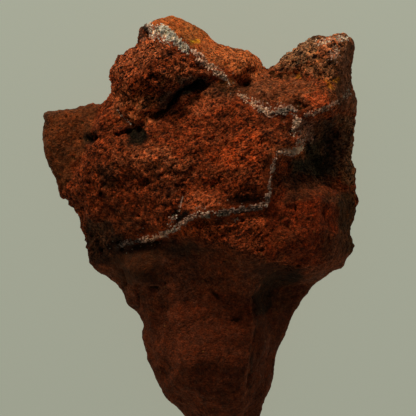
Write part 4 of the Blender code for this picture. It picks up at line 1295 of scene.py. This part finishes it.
def scatter_crystals(tree, given, surface, density_factor):
    """Calcite rhombs at random places on a surface, each with a random shade."""
    density = maths(tree, "MULTIPLY", given["Crystal density"], density_factor)
    inputs = {"Mesh": surface, "Density": density, "Seed": given["Seed"]}
    points = add(tree, "GeometryNodeDistributePointsOnFaces", inputs).outputs["Points"]
    box = add(tree, "GeometryNodeMeshCube", {"Size": (1, 1, 1)}).outputs[0]
    on_corner = add(tree, "GeometryNodeTransform",
                    {"Geometry": box, "Rotation": (math.pi / 4, BOX_TURN, 0)}).outputs[0]
    rhomb = add(tree, "GeometryNodeTransform",
                {"Geometry": on_corner, "Scale": (1, 1, BOX_HEIGHT)}).outputs[0]
    turn = add(tree, "FunctionNodeRandomValue",
               {0: (-math.pi,) * 3, 1: (math.pi,) * 3, "Seed": given["Seed"]},
               data_type="FLOAT_VECTOR").outputs[0]
    size = add(tree, "FunctionNodeRandomValue", {2: SMALLEST, 3: 1.0, "Seed": given["Seed"]},
               data_type="FLOAT").outputs[1]
    size = maths(tree, "MULTIPLY", maths(tree, "POWER", size, MOSTLY_SMALL), given["Crystal size"])
    placed = add(tree, "GeometryNodeInstanceOnPoints",
                 {"Points": points, "Instance": rhomb, "Rotation": turn, "Scale": size}).outputs[0]
    shade = add(tree, "FunctionNodeRandomValue", {2: 0.0, 3: 1.0, "Seed": given["Seed"]},
                data_type="FLOAT").outputs[1]
    shaded = add(tree, "GeometryNodeStoreNamedAttribute",
                 {"Geometry": placed, "Name": "shade", "Value": shade}, domain="INSTANCE")
    return shaded.outputs[0]


def flat_shaded(tree, geometry):
    return add(tree, "GeometryNodeSetShadeSmooth",
               {"Geometry": geometry, "Shade Smooth": False}).outputs[0]


# %% [markdown]
# The seam itself is a crust of crystals that have grown into one another, so only their tilted flat
# faces show. Each Voronoi cell is such a face: it leans its own way and gives its vertices one shade.
# A slow noise sinks the crust in places, where crystals have fallen out, and rhombs stick out of it.

# %% The crust tree
CRUST_INPUTS = CRYSTAL_INPUTS + [
    ("Facet size", "Float", 0.0006), ("Facet slope", "Float", 0.6), ("Swell", "Float", 0.0003),
    ("Gap size", "Float", 0.002), ("Gap depth", "Float", 0.0008),
]
GAP_BORDER = (0.5, 0.7)


def crust_tree():
    """A crust of tilted crystal facets, with loose rhombs on it."""
    tree, given = new_tree("sugary crust", CRUST_INPUTS)
    place, normal = place_and_normal(tree)
    cells = split_cells(tree, place, given["Facet size"])
    lean = vectors(tree, "SUBTRACT", cells["Color"], MIDDLE)
    lean = add(tree, "ShaderNodeVectorMath", {0: lean}, operation="NORMALIZE").outputs[0]
    away = vectors(tree, "SUBTRACT", place, cells["Position"])
    facet = maths(tree, "MULTIPLY", vectors(tree, "DOT_PRODUCT", lean, away), given["Facet slope"])
    gaps = clouds(tree, place, given["Gap size"], 2.0)
    gaps = maths(tree, "MULTIPLY", smooth_step(tree, gaps, *GAP_BORDER), given["Gap depth"])
    height = maths(tree, "SUBTRACT", maths(tree, "ADD", facet, given["Swell"]), gaps)
    height = maths(tree, "ADD", height, named(tree, "rise"))
    moved = add(tree, "GeometryNodeSetPosition",
                {"Geometry": given["Geometry"], "Offset": scaled(tree, normal, height)}).outputs[0]
    chance = add(tree, "FunctionNodeSeparateColor", {0: cells["Color"]}).outputs[0]
    moved = add(tree, "GeometryNodeStoreNamedAttribute",
                {"Geometry": moved, "Name": "shade", "Value": chance}).outputs[0]
    moved = measure_hollows(tree, moved)
    rhombs = scatter_crystals(tree, given, moved, 1.0)
    both = tree.nodes.new("GeometryNodeJoinGeometry")
    tree.links.new(moved, both.inputs[0])
    tree.links.new(rhombs, both.inputs[0])
    finish_tree(tree, flat_shaded(tree, both.outputs[0]), given["Material"])
    return tree


CRUST = crust_tree()
print("the crust tree has", len(CRUST.nodes), "nodes")

# %% [markdown]
# The calcite is thick where it crosses the summit and almost gone in other places, so a table of
# spots raises or sinks the crusts. The three seams also differ in how sugary they are, which their
# own values say.

# %% Where the seams rise
SEAM_RISE = [
    (-9.6, 42.4, 4, 3, -40, 0.32), (-4.4, 39.2, 1.5, 1.6, 0, -0.3),
    (-1.6, 36.4, 2.4, 1.4, -45, 0.25),
    (4.4, 33.6, 4.6, 1.3, -45, -0.5), (3, 32.2, 4.6, 1.1, -45, 0.12), (9.4, 27.2, 2.8, 2, -25, -0.15),
    (16.4, 24.4, 3.6, 2.2, -15, 0.12), (22, 20.6, 2, 3, 0, 0.25), (20.5, 14.8, 5, 1.6, 0, 0.45),
    (15.4, 7, 1.6, 5, 0, -0.12),
    (14.6, 0.5, 0.8, 0.8, 0, 0.35), (8, -0.6, 3.4, 1.2, 0, 0.06), (2.2, 0.1, 1.2, 0.8, 0, 0.2),
    (-8.4, -2.2, 1.2, 1, 0, 0.2), (-14, -7.2, 4, 1.6, 15, -0.08), (-24, -10.6, 4, 1.6, 10, -0.35),
]
SEAM_VALUES = {
    "calcite_seam_summit": {"Swell": 0.24 * MM, "Crystal density": 1.7e6, "Seed": 3},
    "calcite_seam_shoulder": {"Swell": 0.03 * MM, "Crystal density": 1.6e6, "Seed": 5},
    "calcite_seam_step": {"Swell": 0.0, "Crystal density": 1.2e6, "Seed": 8,
                          "Crystal size": 0.28 * MM, "Facet slope": 0.6},
}

print("the seams rise or sink at", len(SEAM_RISE), "spots")

# %% [markdown]
# Each seam starts from its own solid in the frame, with a finer skin than the rock's, because its
# facets are small. It takes the shifts of the rock first, so that it stays on its crack.

# %% Grow the seams
CRUST_SKIN = 0.16
CRUST_SOFTEN = 4

calcite = bpy.data.materials.new("calcite")
calcite_pieces = []
for node, values in SEAM_VALUES.items():
    seam = solid_object(node.replace("seam", "crust"), [(node, 0, 0)])
    remesh(seam, CRUST_SKIN, CRUST_SOFTEN)
    places = shifted(vertex_places(seam)[0])
    move_vertices(seam, places)
    store(seam, "rise", raised(places, SEAM_RISE) * MM)
    grow(seam, CRUST, {
        "Material": calcite, "Facet size": 0.65 * MM, "Facet slope": 1.0, "Gap size": 1.6 * MM,
        "Gap depth": 0.6 * MM, "Crystal size": 0.38 * MM, **values,
    })
    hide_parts(node)
    calcite_pieces.append(seam)
    print(seam.name, "has", triangle_count(seam), "triangles")

# %% [markdown]
# The grains away from the seams are loose rhombs that stick to the rock. Their tree runs on a copy of
# the rock's mesh and keeps only the rhombs, more of them where the tables above ask for more.

# %% Loose rhombs
RHOMB_TRIANGLES = 12
FACING_UP = (-0.2, 0.3)


def grain_tree():
    """Calcite rhombs where the surface asks for them, without the surface."""
    tree, given = new_tree("loose rhombs", CRYSTAL_INPUTS)
    rhombs = scatter_crystals(tree, given, given["Geometry"], named(tree, "grains"))
    finish_tree(tree, flat_shaded(tree, rhombs), given["Material"])
    return tree


grains = bpy.data.objects.new("calcite_grains", rock.data.copy())
scene.collection.objects.link(grains)
places, normals = vertex_places(grains)
store(grains, "grains", calcite_share(places) * step(normals[:, 2], *FACING_UP))
grow(grains, grain_tree(), {"Material": calcite, "Crystal size": 0.42 * MM,
                            "Crystal density": 6e6, "Seed": 11})
calcite_pieces.append(grains)
print("loose grains:", triangle_count(grains) // RHOMB_TRIANGLES)

# %% [markdown]
# Calcite is white, but iron stains it cream, pink and rust-brown, and thick dark crystals look grey.
# At the left end of the long ledge the seam gets painted shade.
# A few named colours are enough, laid in broad spots over a pink ground, as (x, y, long, wide, turn,
# colour, strength).

# %% Shades of the calcite
CREAM = (0.94, 0.67, 0.49)
WHITE = (1, 0.84, 0.69)
GREY = (0.27, 0.20, 0.155)
PINK = (0.70, 0.38, 0.26)
TAWNY = (1, 0.52, 0.31)
ROSE = (1, 0.62, 0.42)
DULL = (0.38, 0.22, 0.155)
DARK = (0.10, 0.056, 0.04)
WARM_GREY = (0.30, 0.24, 0.175)
OLIVE_GREY = (0.15, 0.115, 0.075)
CALCITE_SPOTS = [
    (-9.5, 42.6, 9, 5, -35, WHITE, 1), (-15.9, 44, 1.6, 2.2, 0, DARK, 1),
    (-13.8, 44.8, 1.2, 1, 0, GREY, 0.6),
    (-6.4, 40.8, 1.6, 1, 0, GREY, 0.6), (0.6, 34.8, 6, 4, -45, ROSE, 0.7),
    (5, 31.5, 3, 2, -45, CREAM, 0.8),
    (-4.9, 39.3, 0.6, 1, 0, GREY, 1), (-1.2, 36.1, 0.5, 0.9, 0, DULL, 1),
    (-8, 41.2, 0.6, 1, 0, GREY, 0.9), (-11.4, 43.4, 0.7, 0.5, 0, GREY, 0.8),
    (9.4, 26.8, 4, 3, -20, ROSE, 0.9), (14.5, 24.4, 3.4, 2, 0, CREAM, 0.6),
    (19, 23.8, 4.4, 1.7, 0, GREY, 0.9),
    (22, 19.4, 2, 4, 0, ROSE, 1), (21, 14.8, 6, 2.2, 0, ROSE, 1), (15.4, 8, 2.4, 8, 0, DULL, 1),
    (14.6, 2, 1.4, 1.2, 0, DARK, 0.7), (14.6, 0.4, 0.9, 0.7, 0, WHITE, 0.8),
    (10.4, -0.4, 4, 1.6, 0, DARK, 0.9), (5.6, -1, 3, 1.4, 0, DARK, 0.7),
    (-0.4, -0.7, 3.6, 0.7, 12, CREAM, 0.9), (1.6, -1.9, 4.6, 0.8, 8, OLIVE_GREY, 0.9),
    (2.2, 0.4, 1.4, 1, 0, WHITE, 0.8), (-2.4, -0.6, 2, 1, 0, CREAM, 0.6),
    (-7.6, -2.2, 1.8, 1.6, 0, WHITE, 0.8), (-9.4, -5, 2.4, 2, 0, CREAM, 0.8),
    # (-20, -9) and (-24, -11): painted shade where the seam runs into the ledge's shadow
    (-13.5, -7, 3.6, 1.8, 10, TAWNY, 1), (-20, -9, 5, 2, 10, DARK, 0.9),
    (-24, -11, 4, 3, 0, DARK, 0.9), (34.4, 28, 3, 2.4, 60, WARM_GREY, 1), (30, 41, 6, 3, 0, CREAM, 1),
    (34, 42.4, 2, 2, 0, WHITE, 0.9), (7.3, -2.8, 1.4, 1.2, 0, PINK, 1),
    (-20.6, 22.6, 3.4, 1.4, -45, CREAM, 1), (28, 24.2, 4, 1.4, 15, TAWNY, 1),
]

print("the calcite has", len(CALCITE_SPOTS), "spots of colour")

# %% [markdown]
# The colours are kept on the vertices, as on the rock. Texture painting would need an image, and a
# crust of thousands of facets can't be unfolded well.

# %% Paint the calcite
SPOT_BORDER = (0, 0.5)

for piece in calcite_pieces:
    places, _ = vertex_places(piece)
    spar = coated(places, PINK, (
        (strength * step(spot(places, *oval), *SPOT_BORDER), colour)
        for *oval, colour, strength in CALCITE_SPOTS
    ))
    store_colour(piece, "spar", spar)
    print(piece.name, "is", [round(float(part), 2) for part in spar.mean(axis=0)], "in the mean")

# %% [markdown]
# Fresh calcite has some gloss, but these crystals are small and dusty, so they are only half as rough
# as the earth. Each crystal has its own shade from the mesh, the hollows of the crust get dust and
# painted shade, and specks of earth stick to the crust.

# %% The calcite finish
SHADE_RANGE = (1.2, 0.42)
EARTH_SPECKS = (0.16, 0.04, 0.015, 1)
EARTH_COVER = 0.8


def calcite_finish(material):
    """Pale spar in many shades, with earth in its gaps."""
    material.use_nodes = True
    tree = material.node_tree
    shader = tree.nodes["Principled BSDF"]
    place = add(tree, "ShaderNodeTexCoord").outputs["Object"]
    shade = maths(tree, "MULTIPLY_ADD", attribute(tree, "shade"), *SHADE_RANGE)
    spar = scaled(tree, attribute(tree, "spar", "Color"), shade)
    mottled = place_group(tree, MOTTLE, {
        "Vector": place, "Colour": spar, "Patch size": 1.1 * MM, "Patch contrast": 1.1,
        "Grain size": 0.3 * MM, "Grain contrast": 0.5, "Rust": 0.3,
    })
    # dust and painted shade in the hollows of the crust
    worn = place_group(tree, HOLLOW_SHADE, {
        "Colour": mottled["Colour"], "Hollow": attribute(tree, "hollow"),
        "Dip": attribute(tree, "dip"), "Hollow depth": 0.15, "Dip depth": 0.8, "Shade and dust": 0.45,
        "Crest light": 0.1,
    })["Colour"]
    earth = speck_mask(tree, place, 0.8, 0.5, 0.18, (0.2, 0, 0))
    colour = tint(tree, maths(tree, "MULTIPLY", earth, EARTH_COVER), EARTH_SPECKS, worn)
    tree.links.new(colour, shader.inputs["Base Color"])
    shader.inputs["Roughness"].default_value = 0.5
    shader.inputs["Specular IOR Level"].default_value = 0.3
    bump = add(tree, "ShaderNodeBump", {"Height": mottled["Height"], "Strength": 0.6,
                                        "Distance": 0.1 * MM})
    tree.links.new(bump.outputs[0], shader.inputs["Normal"])


calcite_finish(calcite)
for piece in calcite_pieces:
    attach(piece, "root")
print("calcite has", len(calcite.node_tree.nodes), "nodes on", len(calcite_pieces), "pieces")

# %% [markdown]
# The specimen lies on a sheet of pale grey-green paper that is far larger than the picture, so that
# no edge of it shows.

# %% The floor
FLOOR = 2.0
PAPER = (0.42, 0.44, 0.34, 1)

bm = bmesh.new()
bmesh.ops.create_grid(bm, size=FLOOR / 2)
mesh = bpy.data.meshes.new("floor")
bm.to_mesh(mesh)
bm.free()
floor = bpy.data.objects.new("floor", mesh)
scene.collection.objects.link(floor)
paper = bpy.data.materials.new("paper")
paper.use_nodes = True
paper_shader = paper.node_tree.nodes["Principled BSDF"]
paper_shader.inputs["Base Color"].default_value = PAPER
paper_shader.inputs["Roughness"].default_value = 0.9
floor.data.materials.append(paper)
print("the paper is", FLOOR, "m wide")

# %% [markdown]
# A soft warm key light comes low from beyond the summit and rakes over the show face, which brings
# out its ledges. It would also throw a long shadow on the paper, and the picture has none, so each
# lamp is linked: the key lights the specimen only, and a second lamp the paper only.

# %% Helpers for the lamps
def link_lamp(holder, items):
    """Let a lamp light these items only, and let only them block it."""
    group = bpy.data.collections.new(holder.name + " items")
    for item in items:
        group.objects.link(item)
    holder.light_linking.receiver_collection = group
    holder.light_linking.blocker_collection = group


def soft_light(name, place, size, power, colour, receivers):
    """A round soft lamp that is aimed at the specimen and lights only the receivers."""
    lamp = bpy.data.lights.new(name, "AREA")
    lamp.shape = "DISK"
    lamp.size = size
    lamp.energy = power
    lamp.color = colour
    holder = bpy.data.objects.new(name, lamp)
    scene.collection.objects.link(holder)
    holder.location = place
    aim = Vector(place) - Vector((0, 0, FACE_LEVEL))
    holder.rotation_euler = aim.to_track_quat("Z", "Y").to_euler()
    link_lamp(holder, receivers)


# %% [markdown]
# The key light's place is given by its compass direction and its height above the table, because
# those are what one turns when a shadow is wrong. A weak light from the whole room fills the darks.

# %% Light
KEY_AZIMUTH = math.radians(-15)
KEY_ELEVATION = math.radians(27)
KEY_DISTANCE = 0.95
KEY_WIDTH = 0.25
KEY_POWER = 3.3
KEY_COLOUR = (1, 0.9, 0.76)
TABLE_PLACE = (0.06, 0.95, 1.1)
TABLE_WIDTH = 0.8
TABLE_POWER = 23.6
ROOM_COLOUR = (0.8, 0.85, 0.8, 1)
ROOM_STRENGTH = 0.073

toward_key = Vector((
    math.sin(KEY_AZIMUTH) * math.cos(KEY_ELEVATION),
    math.cos(KEY_AZIMUTH) * math.cos(KEY_ELEVATION),
    math.sin(KEY_ELEVATION),
))
key_place = Vector((0, 0, FACE_LEVEL)) + toward_key * KEY_DISTANCE
specimen = [rock] + calcite_pieces
soft_light("key light", key_place, KEY_WIDTH, KEY_POWER, KEY_COLOUR, specimen)
soft_light("table light", TABLE_PLACE, TABLE_WIDTH, TABLE_POWER, (1, 1, 1), [floor])
world = bpy.data.worlds.new("room")
scene.world = world
world.use_nodes = True
room = world.node_tree.nodes["Background"]
room.inputs["Color"].default_value = ROOM_COLOUR
room.inputs["Strength"].default_value = ROOM_STRENGTH
print("key light at", [round(part, 2) for part in key_place])
